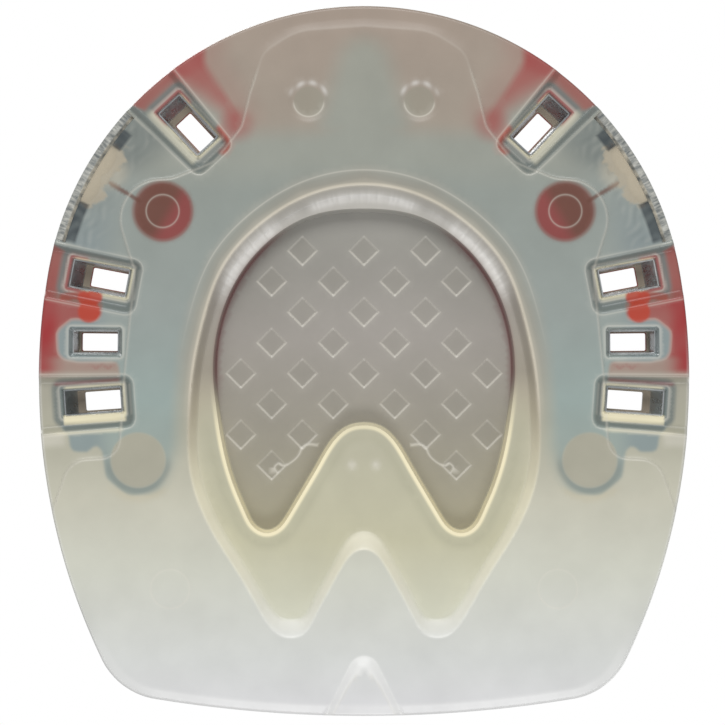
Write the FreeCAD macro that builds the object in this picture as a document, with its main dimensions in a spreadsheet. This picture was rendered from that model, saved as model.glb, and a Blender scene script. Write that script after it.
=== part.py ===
"""Closed-sole composite horseshoe: a plastic body moulded over a steel core, with two welded side clips.

Frame: +Z up, ground face at Z = 0, hoof face at the top, toe towards -Y and heel towards +Y.
The shoe is symmetric about X = 0, and the origin is under the middle of its box. Millimetres.
"""
import FreeCAD, Part
import math
import os

from FreeCAD import Placement, Rotation, Vector

doc = FreeCAD.newDocument("horseshoe")

# ---------------------------------------------------------------- driving dimensions

DIMENSIONS = [
    # outline: four kinds of tangent arc
    ("shoe_length", 142.5), ("shoe_half_width", 65.3),
    ("toe_radius", 64.4), ("side_radius", 130.0), ("corner_radius", 14.5), ("heel_radius", 260.0),
    # levels, all measured up from the ground face
    ("shoe_thickness", 10.0), ("edge_bevel", 0.8), ("border_step", 0.4), ("channel_depth", 1.8),
    ("core_bottom", 3.0), ("core_thickness", 3.0), ("frog_depth", 3.0), ("bowl_depth", 6.5),
    ("hoof_recess", 1.0), ("cushion_bottom", 3.4), ("cushion_height", 5.4),
    # nail slots: the ledge left round each window in the steel, and how the window tapers up to the hole
    ("frame_margin", 0.8), ("window_ease", 0.3), ("window_taper", 0.35), ("channel_run", 13.0),
    # shallow relief
    ("mark_depth", 0.3), ("ring_width", 0.3), ("dimple_x", 11.1), ("dimple_y", -52.1), ("dimple_radius", 3.0),
    ("quarter_ring_x", 40.4), ("quarter_ring_y", -30.1), ("quarter_ring_radius", 3.3),
    ("heel_ring_x", 38.9), ("heel_ring_y", 45.7), ("heel_ring_radius", 3.9),
    ("diamond_depth", 0.3), ("diamond_half", 2.9), ("diamond_pitch", 12.4),
    ("diamond_row", 6.17), ("diamond_first_row", -22.2), ("heel_notch_depth", 1.2),
    # studs that grip the hoof
    ("nub_radius", 1.1), ("nub_height", 1.2), ("nub_pitch", 7.0), ("nub_inset", 4.6), ("nub_row_gap", 6.4),
    ("nub_clearance", 6.6),
    # side clips, laid out by angle from the toe about the toe arc's centre
    ("clip_thickness", 2.0), ("clip_bottom", 1.8), ("clip_straight", 3.0), ("clip_rise", 16.0),
    ("clip_lean", 2.2),
    ("clip_middle_angle", 61.0), ("clip_span_angle", 26.4), ("clip_tip_thickness", 1.3),
    ("clip_tip_half_width", 7.0), ("clip_blank_margin", 2.0), ("clip_shoulder", 3.4), ("clip_slot_depth", 2.1),
    # weld beads between clip and core
    ("weld_long", 3.4), ("weld_wide", 1.9), ("weld_high", 1.1), ("weld_inset", 0.6),
    ("weld_angle_1", 57.4), ("weld_angle_2", 63.0),
]

# nail slots of the left branch, toe to heel: centre, angle of the long axis, hole length and width,
# how far the window in the steel runs outward past the hole, and the window's width
NAILS = [
    ("nail_a", -34.0, -46.0, 47.0, 7.2, 3.9, 3.9, 5.4),
    ("nail_b", -51.2, -16.3, 10.8, 7.2, 3.75, 3.9, 5.2),
    ("nail_c", -53.1, -3.8, 0.6, 7.2, 3.5, 1.6, 4.3),
    ("nail_d", -52.5, 7.9, -4.0, 7.2, 3.75, 3.9, 4.7),
]
NAIL_FIELDS = ("x", "y", "angle", "length", "width", "outward", "window")

# channels for the nail heads: reach from the hole's centre towards the toe and towards the heel, each at the
# shoe's edge and at the inner end, and the reach inward
CHANNELS = [
    ("nail_a", 5.5, 4.2, 7.0, 5.8, 7.4),
    ("nail_b", 5.4, 5.0, 6.1, 6.3, 6.3),
    ("nail_d", 6.0, 4.8, 6.4, 5.9, 6.4),
]
CHANNEL_FIELDS = ("toe_outer", "toe_inner", "heel_outer", "heel_inner", "inner_reach")

sheet = doc.addObject("Spreadsheet::Sheet", "sizes")


def fill_sheet():
    """Write every driving dimension as a plain number with an alias."""
    rows = list(DIMENSIONS)
    for nail in NAILS:
        rows += [(nail[0] + "_" + field, value) for field, value in zip(NAIL_FIELDS, nail[1:])]
    for channel in CHANNELS:
        rows += [(channel[0] + "_" + field, value) for field, value in zip(CHANNEL_FIELDS, channel[1:])]
    for row, (alias, value) in enumerate(rows, start=1):
        sheet.set("A%d" % row, alias)
        sheet.set("B%d" % row, str(value))
        sheet.setAlias("B%d" % row, alias)
    doc.recompute()


fill_sheet()


def size(alias):
    """A driving dimension's value."""
    return float(sheet.get(alias))


def bind(thing, prop, expression):
    """Bind a property to an expression of sheet aliases, each written as @alias."""
    thing.setExpression(prop, expression.replace("@", "sizes."))


# ---------------------------------------------------------------- plane geometry

def on_circle(centre, radius, degrees):
    """The point of a circle at an angle counted from +X towards +Y."""
    turn = math.radians(degrees)
    return Vector(centre[0] + radius * math.cos(turn), centre[1] + radius * math.sin(turn), 0)


def heading(start, end):
    """The angle, in degrees, of the way from one point to another."""
    return math.degrees(math.atan2(end[1] - start[1], end[0] - start[0]))


def mirrored(points):
    """Left-hand points carried over to the right, in the opposite order."""
    return [(-point[0],) + tuple(point[1:]) for point in reversed(points)]


def both_sides(points):
    """A symmetric loop from its left half, whose first and last points may lie on the middle line."""
    right = [point for point in mirrored(points) if abs(point[0]) > 1e-9]
    return list(points) + right


def outline_arcs():
    """The right half of the outline as (centre, radius, first angle, last angle), toe to heel."""
    half_length = size("shoe_length") / 2
    toe = (0.0, size("toe_radius") - half_length)
    heel = (0.0, half_length - size("heel_radius"))
    side_x = size("shoe_half_width") - size("side_radius")
    gap = size("side_radius") - size("toe_radius")
    side = (side_x, toe[1] + math.sqrt(gap ** 2 - side_x ** 2))
    # the corner's centre keeps its distance from the centres of the side and heel arcs
    from_side = size("side_radius") - size("corner_radius")
    from_heel = size("heel_radius") - size("corner_radius")
    apart = math.dist(side, heel)
    along = (from_side ** 2 - from_heel ** 2 + apart ** 2) / (2 * apart)
    off = math.sqrt(from_side ** 2 - along ** 2)
    unit = ((heel[0] - side[0]) / apart, (heel[1] - side[1]) / apart)
    corner = (side[0] + along * unit[0] - off * unit[1], side[1] + along * unit[1] + off * unit[0])
    toe_to_side = heading(side, toe)
    side_to_corner = heading(side, corner)
    corner_to_heel = heading(heel, corner)
    return [
        (toe, size("toe_radius"), -90.0, toe_to_side),
        (side, size("side_radius"), toe_to_side, side_to_corner),
        (corner, size("corner_radius"), side_to_corner, corner_to_heel),
        (heel, size("heel_radius"), corner_to_heel, 90.0),
    ]


OUTLINE = outline_arcs()
TOE_CENTRE = OUTLINE[0][0]


def outline_edges(inset=0.0):
    """The closed outline, moved inward by a distance."""
    edges = []
    for side in (1, -1):
        for centre, radius, first, last in OUTLINE:
            turns = (first, (first + last) / 2, last)
            points = [on_circle(centre, radius - inset, turn) for turn in turns]
            edges.append(Part.Arc(*[Vector(side * point.x, point.y, 0) for point in points]))
    return edges


def rounded_loop(points):
    """A closed loop of straight runs with round corners, from points given as (x, y, corner radius)."""
    count = len(points)
    edges, starts, ends = [], [], []
    for index in range(count):
        before, corner, after = (Vector(*points[(index + step) % count][:2], 0) for step in (-1, 0, 1))
        radius = points[index][2]
        back, ahead = (before - corner).normalize(), (after - corner).normalize()
        half_angle = back.getAngle(ahead) / 2
        if radius == 0 or half_angle > 1.56:
            starts.append(corner)
            ends.append(corner)
            continue
        trim = radius / math.tan(half_angle)
        bisector = (back + ahead).normalize()
        centre = corner + bisector * (radius / math.sin(half_angle))
        starts.append(corner + back * trim)
        ends.append(corner + ahead * trim)
        edges.append(Part.Arc(starts[-1], centre - bisector * radius, ends[-1]))
    for index in range(count):
        start, end = ends[index], starts[(index + 1) % count]
        if start.distanceToPoint(end) > 1e-6:
            edges.append(Part.LineSegment(start, end))
    return edges


def smooth_loop(points):
    """A closed smooth curve through points."""
    curve = Part.BSplineCurve()
    curve.interpolate(Points=[Vector(x, y, 0) for x, y in points], PeriodicFlag=True)
    return [curve]


def circle(x, y, radius):
    return [Part.Circle(Vector(x, y, 0), Vector(0, 0, 1), radius)]


def ring(x, y, radius, width):
    """Two circles that bound a ring."""
    return circle(x, y, radius) + circle(x, y, radius - width)


# ---------------------------------------------------------------- nail slots

def nail_frame(name, side):
    """The slot's centre, its inward direction and its direction towards the heel; side is 1 for the left."""
    turn = math.radians(size(name + "_angle"))
    inward = Vector(side * math.cos(turn), math.sin(turn), 0)
    heelward = Vector(-side * math.sin(turn), math.cos(turn), 0)
    return Vector(side * size(name + "_x"), size(name + "_y"), 0), inward, heelward


def slot_outline(name, side, corners):
    """A closed loop about a slot, from corners given as (inward, heelward, corner radius)."""
    centre, inward, heelward = nail_frame(name, side)
    points = []
    for along, across, radius in corners:
        point = centre + inward * along + heelward * across
        points.append((point.x, point.y, radius))
    return rounded_loop(points)


def slot_box(name, side, out, inner, half_width, corner):
    """A rounded rectangle about a slot: its reach outward and inward, and half its width."""
    return slot_outline(name, side, [(-out, -half_width, corner), (inner, -half_width, corner),
                                     (inner, half_width, corner), (-out, half_width, corner)])


def hole_loops():
    """The slots through the whole shoe."""
    edges = []
    for nail in NAILS:
        for side in (1, -1):
            length, width = size(nail[0] + "_length") / 2, size(nail[0] + "_width") / 2
            edges += slot_box(nail[0], side, length, length, width, 0.3)
    return edges


def frame_loops():
    """The recesses over the windows in the steel, larger than each by a margin."""
    margin = size("frame_margin")
    edges = []
    for nail in NAILS:
        for side in (1, -1):
            length, width = size(nail[0] + "_length") / 2, size(nail[0] + "_window") / 2 + margin
            out = length + size(nail[0] + "_outward") + margin
            edges += slot_box(nail[0], side, out, length + margin, width, 0.4)
    return edges


def channel_loops():
    """The channels for the nail heads, which run out through the edge of the shoe and narrow inward."""
    past_edge = 9.0
    edges = []
    for channel in CHANNELS:
        fields = [size(channel[0] + "_" + field) for field in CHANNEL_FIELDS]
        toe_outer, toe_inner, heel_outer, heel_inner, inner = fields
        run = size("channel_run")
        stretch = past_edge / (run + inner)
        toe_far = toe_outer + (toe_outer - toe_inner) * stretch
        heel_far = heel_outer + (heel_outer - heel_inner) * stretch
        corners = [(-run - past_edge, -toe_far, 0), (inner, -toe_inner, 2.0), (inner, heel_inner, 2.0),
                   (-run - past_edge, heel_far, 0)]
        for side in (1, -1):
            edges += slot_outline(channel[0], side, corners)
    return edges


# ---------------------------------------------------------------- outlines of the moulded relief, left half

# the edge of the recess in the ground face, from the toe side round to the tip of the heel's tongue
RIM = [(0, -35.6), (-12.5, -32.9), (-21.5, -27.1), (-28.2, -19.5), (-32.2, -9.2), (-34.4, 1.0),
       (-35.3, 12.0), (-35.0, 21.8), (-33.1, 28.8), (-29.2, 36.5), (-25.3, 42.6), (-21.5, 49.2),
       (-19.0, 53.2), (-16.9, 55.1), (-14.6, 55.6), (-12.2, 54.9), (-9.9, 51.5), (-6.8, 45.7),
       (-3.7, 40.3), (-2.1, 38.5), (0, 37.8)]

# the edge of the thin sole membrane, with the two lobes beside the frog
MEMBRANE = [(0, -30.5), (-11.2, -28.9), (-19.6, -23.6), (-26.0, -15.4), (-29.3, -6.5), (-30.2, 2.5),
            (-29.6, 9.0), (-27.7, 19.8), (-25.7, 26.0), (-23.8, 30.4), (-22.2, 33.2), (-19.7, 34.5),
            (-17.3, 33.7), (-15.3, 31.2), (-12.2, 26.0), (-9.1, 20.7), (-6.1, 15.9), (-3.3, 13.5),
            (0, 12.8)]

# the line where the lowered outer border meets the tread; the last points lie outside the shoe
BORDER = [(0, -67.3, 0), (-13.5, -66.3, 12), (-20.2, -62.0, 5), (-22.9, -53.6, 8), (-24.5, -47.0, 4),
          (-30.0, -40.0, 4), (-38.5, -36.5, 8), (-51.5, -36.0, 8), (-46.0, -18.0, 6), (-48.1, 3.0, 20),
          (-49.2, 19.5, 4), (-59.0, 20.0, 5), (-64.5, 36.0, 5), (-80.0, 36.0, 0), (-80.0, -80.0, 0)]

# the ramp at the heel, which runs out through the heel edge
HEEL_NOTCH = [(0, 55.0, 3.2), (-9.35, 74.0, 0), (9.35, 74.0, 0)]

# inner edge of the steel, round the recess
CORE_INNER = [(-37.0, 17.0), (-36.9, 8.0), (-35.9, -1.0), (-33.6, -10.5), (-29.6, -20.6), (-22.6, -28.8),
              (-13.1, -34.8), (0, -37.6)]

# outer edge of the steel from the toe spike to the heel-quarter tab; clip seats are added by angle
CORE_TOE = [(0, -65.4, 2.0), (-3.6, -64.4, 1.2), (-3.9, -57.0, 4), (-5.2, -49.0, 2), (-9.0, -46.6, 3),
            (-21.0, -46.2, 4), (-26.2, -46.4, 1), (-28.0, -51.0, 3), (-33.8, -54.8, 2), (-36.9, -56.6, 1),
            (-44.0, -50.2, 0.6)]
CORE_QUARTER = [(-59.4, -21.6, 0.6), (-60.0, -14.6, 0.6), (-56.6, -14.2, 0.3), (-52.4, -13.8, 1.4),
                (-52.8, -7.8, 1.6), (-58.6, -8.4, 1.2), (-61.6, -6.0, 1.6), (-61.3, -0.6, 2.0),
                (-57.4, 0.1, 1.2), (-49.4, 0.1, 0.8), (-48.8, 4.2, 0.8), (-61.2, 4.2, 0.8),
                (-60.6, 13.4, 0.8), (-59.2, 15.0, 0.8), (-58.8, 18.2, 1.2), (-55.4, 18.2, 0.6),
                (-53.6, 16.4, 1.0), (-52.4, 18.4, 0.6), (-51.8, 23.4, 2.0), (-47.4, 27.0, 2.5),
                (-41.0, 26.6, 3.0), (-38.2, 21.0, 2.0)]

# round holes in the steel: centre and radius
QUARTER_HOLE = (-40.4, -30.1, 5.8)
HEEL_QUARTER_HOLE = (-45.3, 19.9, 5.8)

# the soft cushion that fills the quarter outside and above the steel; the last points lie outside the shoe
CUSHION = [(-31.5, -68.0, 0), (-31.9, -59.8, 3), (-24.3, -48.5, 4), (-27.0, -40.5, 3), (-34.5, -36.0, 3),
           (-34.0, -25.0, 5), (-43.5, -21.0, 5), (-44.0, 2.6, 2), (-75.0, 2.6, 0), (-75.0, -68.0, 0)]


def clip_relief_loops():
    """Where the body stops short of the outline, so that the foot of each clip shows."""
    inner, outer = size("toe_radius") - size("clip_thickness"), size("toe_radius") + 3
    half_span = size("clip_span_angle") / 2
    edges = []
    for side in (1, -1):
        middle = 270.0 - side * size("clip_middle_angle")
        near = [on_circle(TOE_CENTRE, inner, middle + turn * half_span) for turn in (-1, 0, 1)]
        far = [on_circle(TOE_CENTRE, outer, middle + turn * half_span) for turn in (-1, 0, 1)]
        edges += [Part.Arc(*near), Part.Arc(*far)]
        edges += [Part.LineSegment(near[0], far[0]), Part.LineSegment(near[2], far[2])]
    return edges


def clip_seat():
    """The steel's edge behind a clip: a foot in the middle for the weld, with a slot at each end."""
    foot = size("toe_radius") - size("clip_thickness")
    slot = foot - size("clip_slot_depth")
    steps = [(48.6, foot), (50.4, foot), (50.4, slot), (54.2, slot), (54.2, foot), (66.2, foot),
             (66.2, slot), (73.6, slot), (73.6, foot)]
    points = []
    for angle, radius in steps:
        point = on_circle(TOE_CENTRE, radius, 270.0 - angle)
        points.append((point.x, point.y, 0.2))
    return points


# ---------------------------------------------------------------- features

def origin_plane(body, role):
    """One of a body's own origin planes."""
    for feature in body.Origin.OriginFeatures:
        if feature.Role == role:
            return feature
    raise ValueError("no plane " + role)


def sketch_in(body, name, edges, role="XY_Plane", height=None):
    """A sketch on one of the body's origin planes, lifted to a level of the sheet if one is given."""
    sketch = body.newObject("Sketcher::SketchObject", name)
    sketch.AttachmentSupport = (origin_plane(body, role), [""])
    sketch.MapMode = "FlatFace"
    if height:
        bind(sketch, "AttachmentOffset.Base.z", height)
    sketch.addGeometry(edges, False)
    doc.recompute()
    return sketch


def pad(body, name, sketch, length):
    feature = body.newObject("PartDesign::Pad", name)
    feature.Profile = sketch
    bind(feature, "Length", length)
    doc.recompute()
    return feature


def pocket(body, name, sketch, length, upward=True):
    """Cut upward from the sketch's plane, or downward."""
    before = body.Shape.Volume
    feature = body.newObject("PartDesign::Pocket", name)
    feature.Profile = sketch
    feature.Reversed = upward
    bind(feature, "Length", length)
    doc.recompute()
    if not body.Shape.Volume < before - 0.01:
        raise ValueError(name + " removed nothing")
    return feature


def boolean(kind, name, parts):
    """A Part boolean of several objects: the first is the base of a cut."""
    feature = doc.addObject("Part::" + kind, name)
    if kind == "Cut":
        feature.Base, feature.Tool = parts
    else:
        feature.Shapes = parts
    doc.recompute()
    return feature


# ---------------------------------------------------------------- sole body before the inserts are let in

def nub_points():
    """Centres of the studs on the hoof face, in two rows that follow the outline."""
    points = []
    for row in range(2):
        inset = size("nub_inset") + row * size("nub_row_gap")
        for centre, radius, first, last in OUTLINE:
            radius -= inset
            steps = max(1, int(radius * math.radians(last - first) / size("nub_pitch")))
            for step in range(steps):
                point = on_circle(centre, radius, first + (step + 0.5) * (last - first) / steps)
                if clear_of_nails(point):
                    points.append(point)
    return points


def clear_of_nails(point):
    """Whether a stud on the right-hand side keeps off the nail slots and the middle line."""
    apart = [math.hypot(point.x + size(nail[0] + "_x"), point.y - size(nail[0] + "_y")) for nail in NAILS]
    return min(apart) > size("nub_clearance") and point.x > 3.0


def diamonds():
    """The grid of diamonds on the membrane: rows of three or four, kept off the frog."""
    columns = [(0, 1), (0.5, 1.5), (0, 1), (0.5, 1.5), (0, 1, 2), (0.5, 1.5), (1, 2), (1.5,)]
    half = size("diamond_half")
    edges = []
    for row, offsets in enumerate(columns):
        y = size("diamond_first_row") + row * size("diamond_row")
        for offset in offsets:
            for side in {1, -1} if offset else {1}:
                x = side * offset * size("diamond_pitch")
                edges += rounded_loop([(x - half, y, 0.3), (x, y - half, 0.3), (x + half, y, 0.3),
                                       (x, y + half, 0.3)])
    return edges


def marks():
    """The round marks in the ground face: toe dimples, and fine rings at the quarters and heel."""
    edges = []
    for side in (1, -1):
        edges += circle(side * size("dimple_x"), size("dimple_y"), size("dimple_radius"))
        for name in ("quarter_ring", "heel_ring"):
            edges += ring(side * size(name + "_x"), size(name + "_y"), size(name + "_radius"), size("ring_width"))
    return edges


def edge_names(shape, wanted):
    """Names of the edges whose box passes a test."""
    return ["Edge%d" % number for number, edge in enumerate(shape.Edges, start=1) if wanted(edge.BoundBox)]


def make_sole_blank():
    """The moulded body as a whole block, with its relief, before the inserts are let into it."""
    body = doc.addObject("PartDesign::Body", "sole_blank")
    outline = sketch_in(body, "outline", outline_edges())
    block = pad(body, "block", outline, "@shoe_thickness")
    bevel = body.newObject("PartDesign::Chamfer", "edge_bevel")
    bevel.Base = (block, edge_names(block.Shape, lambda box: box.ZLength < 1e-6))
    bind(bevel, "Size", "@edge_bevel")
    doc.recompute()
    pocket(body, "border", sketch_in(body, "border_line", rounded_loop(both_sides(BORDER))), "@border_step")
    relief = sketch_in(body, "clip_relief_lines", clip_relief_loops())
    pocket(body, "clip_relief", relief, "@clip_bottom")
    notch = sketch_in(body, "notch_line", rounded_loop(HEEL_NOTCH))
    pocket(body, "heel_notch", notch, "@heel_notch_depth")
    pocket(body, "channels", sketch_in(body, "channel_lines", channel_loops()), "@channel_depth")
    rim = sketch_in(body, "rim_line", smooth_loop(both_sides(RIM)))
    pocket(body, "frog_recess", rim, "@frog_depth")
    membrane = sketch_in(body, "membrane_line", smooth_loop(both_sides(MEMBRANE)))
    pocket(body, "bowl", membrane, "@bowl_depth")
    pocket(body, "marks", sketch_in(body, "mark_lines", marks()), "@mark_depth")
    grid = sketch_in(body, "diamond_lines", diamonds(), height="@bowl_depth")
    pocket(body, "diamonds", grid, "@diamond_depth")
    seat = sketch_in(body, "hoof_recess_line", smooth_loop(both_sides(RIM)), height="@shoe_thickness")
    pocket(body, "hoof_recess", seat, "@hoof_recess", upward=False)
    frames = sketch_in(body, "frame_lines", frame_loops())
    pocket(body, "nail_frames", frames, "@core_bottom")
    holes = sketch_in(body, "hole_lines", hole_loops())
    pocket(body, "nail_holes", holes, "@shoe_thickness")
    circles = []
    for point in nub_points():
        circles += circle(point.x, point.y, size("nub_radius")) + circle(-point.x, point.y, size("nub_radius"))
    nubs = sketch_in(body, "nub_lines", circles, height="@shoe_thickness")
    pad(body, "nubs", nubs, "@nub_height")
    return body


# ---------------------------------------------------------------- steel core

def both_sides_open(outer, inner):
    """Outer edge toe to heel on the left, inner edge back over the toe, outer edge heel to toe on the right."""
    inner_full = inner + mirrored(inner[:-1])
    right = [point for point in mirrored(outer) if abs(point[0]) > 1e-9]
    return outer + inner_full + right


def core_loops():
    """The outer and inner edges of the steel as one loop, open towards the heel."""
    left = CORE_TOE + clip_seat() + CORE_QUARTER
    inner = [(x, y, 0) for x, y in CORE_INNER]
    return rounded_loop(both_sides_open(left, inner))


def make_windows():
    """A tapered window through the steel for each nail, widest at the ground face."""
    windows = []
    for name in [nail[0] for nail in NAILS]:
        for side, word in ((1, "left"), (-1, "right")):
            centre, inward, heelward = nail_frame(name, side)
            wedge = doc.addObject("Part::Wedge", "%s_window_%s" % (name, word))
            bind(wedge, "Xmin", "-(@%s_length / 2 + @%s_outward)" % (name, name))
            bind(wedge, "Xmax", "@%s_length / 2" % name)
            bind(wedge, "Zmin", "-@%s_window / 2" % name)
            bind(wedge, "Zmax", "@%s_window / 2" % name)
            bind(wedge, "X2min", "-(@%s_length / 2 + @%s_outward * @window_taper)" % (name, name))
            bind(wedge, "X2max", "@%s_length / 2" % name)
            bind(wedge, "Z2min", "-@%s_width / 2 - @window_ease" % name)
            bind(wedge, "Z2max", "@%s_width / 2 + @window_ease" % name)
            bind(wedge, "Ymin", "0")
            bind(wedge, "Ymax", "@core_thickness")
            turn = Rotation(inward, Vector(0, 0, 1), Vector(inward.y, -inward.x, 0), "XYZ")
            wedge.Placement = Placement(Vector(centre.x, centre.y, size("core_bottom")), turn)
            windows.append(wedge)
    return boolean("MultiFuse", "steel_windows", windows)


def make_core(windows):
    """The punched steel plate."""
    body = doc.addObject("PartDesign::Body", "core_blank")
    plate = sketch_in(body, "core_outline", core_loops(), height="@core_bottom")
    pad(body, "core_plate", plate, "@core_thickness")
    holes = []
    for side in (1, -1):
        for x, y, radius in (QUARTER_HOLE, HEEL_QUARTER_HOLE):
            holes += circle(side * x, y, radius)
    punched = sketch_in(body, "core_holes", holes, height="@core_bottom")
    pocket(body, "core_punched", punched, "@core_thickness")
    core = boolean("Cut", "steel_core", [body, windows])
    core.Label = "steel_core"
    return core


# ---------------------------------------------------------------- side clips and their welds

def make_clip(name, side):
    """A plate that stands on the outline, leans in above the hoof face and narrows to a round tip."""
    body = doc.addObject("PartDesign::Body", name)
    outer = size("toe_radius")
    bottom, seat = size("clip_bottom"), size("shoe_thickness")
    bend, top = seat + size("clip_straight"), seat + size("clip_rise")
    thick, tip, lean = size("clip_thickness"), size("clip_tip_thickness"), size("clip_lean")
    section = [(outer - thick, bottom), (outer, bottom), (outer, bend), (outer - lean, top),
               (outer - lean - tip, top), (outer - thick, bend)]
    lines = rounded_loop([(x, z, 0) for x, z in section])
    profile = sketch_in(body, name + "_section", lines, role="XZ_Plane")
    sweep = body.newObject("PartDesign::Revolution", name + "_plate")
    sweep.Profile = profile
    sweep.ReferenceAxis = (profile, ["V_Axis"])
    sweep.Midplane = True
    bind(sweep, "Angle", "@clip_span_angle")
    doc.recompute()
    # trim the top to a tongue: everything outside the tongue's face is cut away
    half = outer * math.radians(size("clip_span_angle")) / 2 + size("clip_blank_margin")
    tip_half = size("clip_tip_half_width")
    foot_half = half - size("clip_shoulder")
    frame = [(-half, seat, 0), (-foot_half, seat, 2), (-tip_half, top, 5.5), (tip_half, top, 5.5),
             (foot_half, seat, 2), (half, seat, 0), (half, top + 5, 0), (-half, top + 5, 0)]
    trim = sketch_in(body, name + "_tongue", rounded_loop(frame), role="YZ_Plane")
    cut = body.newObject("PartDesign::Pocket", name + "_trim")
    cut.Profile = trim
    cut.Type = "ThroughAll"
    cut.Midplane = True
    doc.recompute()
    angle = 270.0 - side * size("clip_middle_angle")
    body.Placement = Placement(Vector(TOE_CENTRE[0], TOE_CENTRE[1], 0), Rotation(Vector(0, 0, 1), angle))
    body.Label = name
    doc.recompute()
    return body


def make_weld(name, side, clip):
    """Two overlapping beads on the steel's ground face, against the foot of the clip."""
    beads = []
    seam_radius = size("toe_radius") - size("clip_thickness") - size("weld_inset")
    for number in (1, 2):
        bead = doc.addObject("Part::Ellipsoid", "%s_bead_%d" % (name, number))
        bind(bead, "Radius1", "@weld_high")
        bind(bead, "Radius2", "@weld_wide")
        bind(bead, "Radius3", "@weld_long")
        bead.Angle2 = 0
        compass = 270.0 - side * size("weld_angle_%d" % number)
        place = on_circle(TOE_CENTRE, seam_radius, compass)
        place.z = size("core_bottom")
        bead.Placement = Placement(place, Rotation(Vector(0, 0, 1), compass))
        beads.append(bead)
    weld = boolean("Cut", name, [boolean("MultiFuse", name + "_beads", beads), clip])
    weld.Label = name
    return weld


# ---------------------------------------------------------------- quarter cushions

def make_nail_holes():
    """The slots through the whole shoe, as solids to cut with."""
    body = doc.addObject("PartDesign::Body", "nail_hole_tools")
    lines = sketch_in(body, "hole_tool_lines", hole_loops())
    pad(body, "hole_tool_block", lines, "@shoe_thickness")
    return body


def make_cushion(name, side, tools):
    """Soft plastic round and above the steel at a quarter, out to the shoe's own side wall."""
    body = doc.addObject("PartDesign::Body", name + "_blank")
    points = CUSHION if side == 1 else mirrored(CUSHION)
    lines = sketch_in(body, name + "_line", rounded_loop(points), height="@cushion_bottom")
    pad(body, name + "_block", lines, "@cushion_height")
    cushion = body
    for number, tool in enumerate(tools, start=1):
        kind = "MultiCommon" if number == 1 else "Cut"
        cushion = boolean(kind, "%s_step_%d" % (name, number), [cushion, tool])
    cushion.Label = name
    return cushion


def make_wall():
    """The space inside the outline, over the shoe's whole thickness."""
    body = doc.addObject("PartDesign::Body", "outline_tool")
    lines = sketch_in(body, "outline_tool_line", outline_edges())
    pad(body, "outline_tool_block", lines, "@shoe_thickness")
    return body


# ---------------------------------------------------------------- assembly

windows = make_windows()
core = make_core(windows)
clips = [make_clip("side_clip_left", 1), make_clip("side_clip_right", -1)]
welds = [make_weld("clip_weld_left", 1, clips[0]), make_weld("clip_weld_right", -1, clips[1])]
wall = make_wall()
nail_holes = make_nail_holes()
cushions = [
    make_cushion("quarter_cushion_left", 1, [wall, core, windows, nail_holes, clips[0]]),
    make_cushion("quarter_cushion_right", -1, [wall, core, windows, nail_holes, clips[1]]),
]
blank = make_sole_blank()
inserts = boolean("MultiFuse", "inserts", [core, windows] + clips + welds + cushions)
sole = boolean("Cut", "sole_body", [blank, inserts])
sole.Label = "sole_body"
doc.recompute()

SUB_PARTS = [sole, core] + clips + welds + cushions

for thing in doc.Objects:
    if "Invalid" in thing.State or "Error" in thing.State:
        raise ValueError("%s failed: %s" % (thing.Name, thing.State))
for part in SUB_PARTS:
    if part.Shape.isNull() or not part.Shape.isValid():
        raise ValueError(part.Label + " has a bad shape")

os.makedirs("parts", exist_ok=True)
for part in SUB_PARTS:
    part.Shape.exportStep("parts/%s.step" % part.Label)
    box = part.Shape.BoundBox
    print("%-22s solids %d  volume %9.1f  box %6.1f %6.1f %6.1f" % (
        part.Label, len(part.Shape.Solids), part.Shape.Volume, box.XLength, box.YLength, box.ZLength))
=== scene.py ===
from collections import namedtuple
import math

import bpy
import numpy as np
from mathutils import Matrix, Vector
from mathutils.geometry import delaunay_2d_cdt


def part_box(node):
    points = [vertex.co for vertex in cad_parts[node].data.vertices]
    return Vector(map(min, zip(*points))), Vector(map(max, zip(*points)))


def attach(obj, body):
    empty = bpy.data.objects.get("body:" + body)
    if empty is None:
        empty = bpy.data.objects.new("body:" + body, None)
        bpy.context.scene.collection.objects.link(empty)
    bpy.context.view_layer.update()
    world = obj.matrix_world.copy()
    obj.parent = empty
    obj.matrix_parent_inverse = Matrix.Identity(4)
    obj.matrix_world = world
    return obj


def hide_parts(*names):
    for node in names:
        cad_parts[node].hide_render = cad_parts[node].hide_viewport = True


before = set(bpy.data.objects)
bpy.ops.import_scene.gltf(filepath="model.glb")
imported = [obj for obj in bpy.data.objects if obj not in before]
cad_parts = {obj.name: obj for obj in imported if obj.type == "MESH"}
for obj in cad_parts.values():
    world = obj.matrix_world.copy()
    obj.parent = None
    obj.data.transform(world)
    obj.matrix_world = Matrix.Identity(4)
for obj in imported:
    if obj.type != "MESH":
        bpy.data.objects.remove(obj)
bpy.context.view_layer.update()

MM = 0.001

# ---------------------------------------------------------------- sizes in millimetres, as in the CAD model

NUB_HEIGHT = 1.2
HALF_WIDTH, HALF_LENGTH, TOP = np.array(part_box("sole_body")[1]) / MM
THICKNESS = TOP - NUB_HEIGHT
STEEL_LOW, STEEL_HIGH = (corner[2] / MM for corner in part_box("steel_core"))
CUSHION_LOW, CUSHION_HIGH = (corner[2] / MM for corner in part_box("quarter_cushion_left"))
TOE_RADIUS, SIDE_RADIUS, CORNER_RADIUS, HEEL_RADIUS = 64.4, 130.0, 14.5, 260.0
BORDER_STEP, CHANNEL_DEPTH, FROG_DEPTH, BOWL_DEPTH = 0.45, 1.9, 3.0, 6.5
HOOF_RECESS, DIAMOND_RELIEF, RAMP_DEPTH = 1.0, 0.22, 0.9
CLIP_THICKNESS, CLIP_START, CLIP_END = 2.0, 47.8, 74.2
DIAMOND_HALF, DIAMOND_PITCH, DIAMOND_ROW, DIAMOND_FIRST_ROW = 2.9, 12.4, 6.17, -22.2

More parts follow.
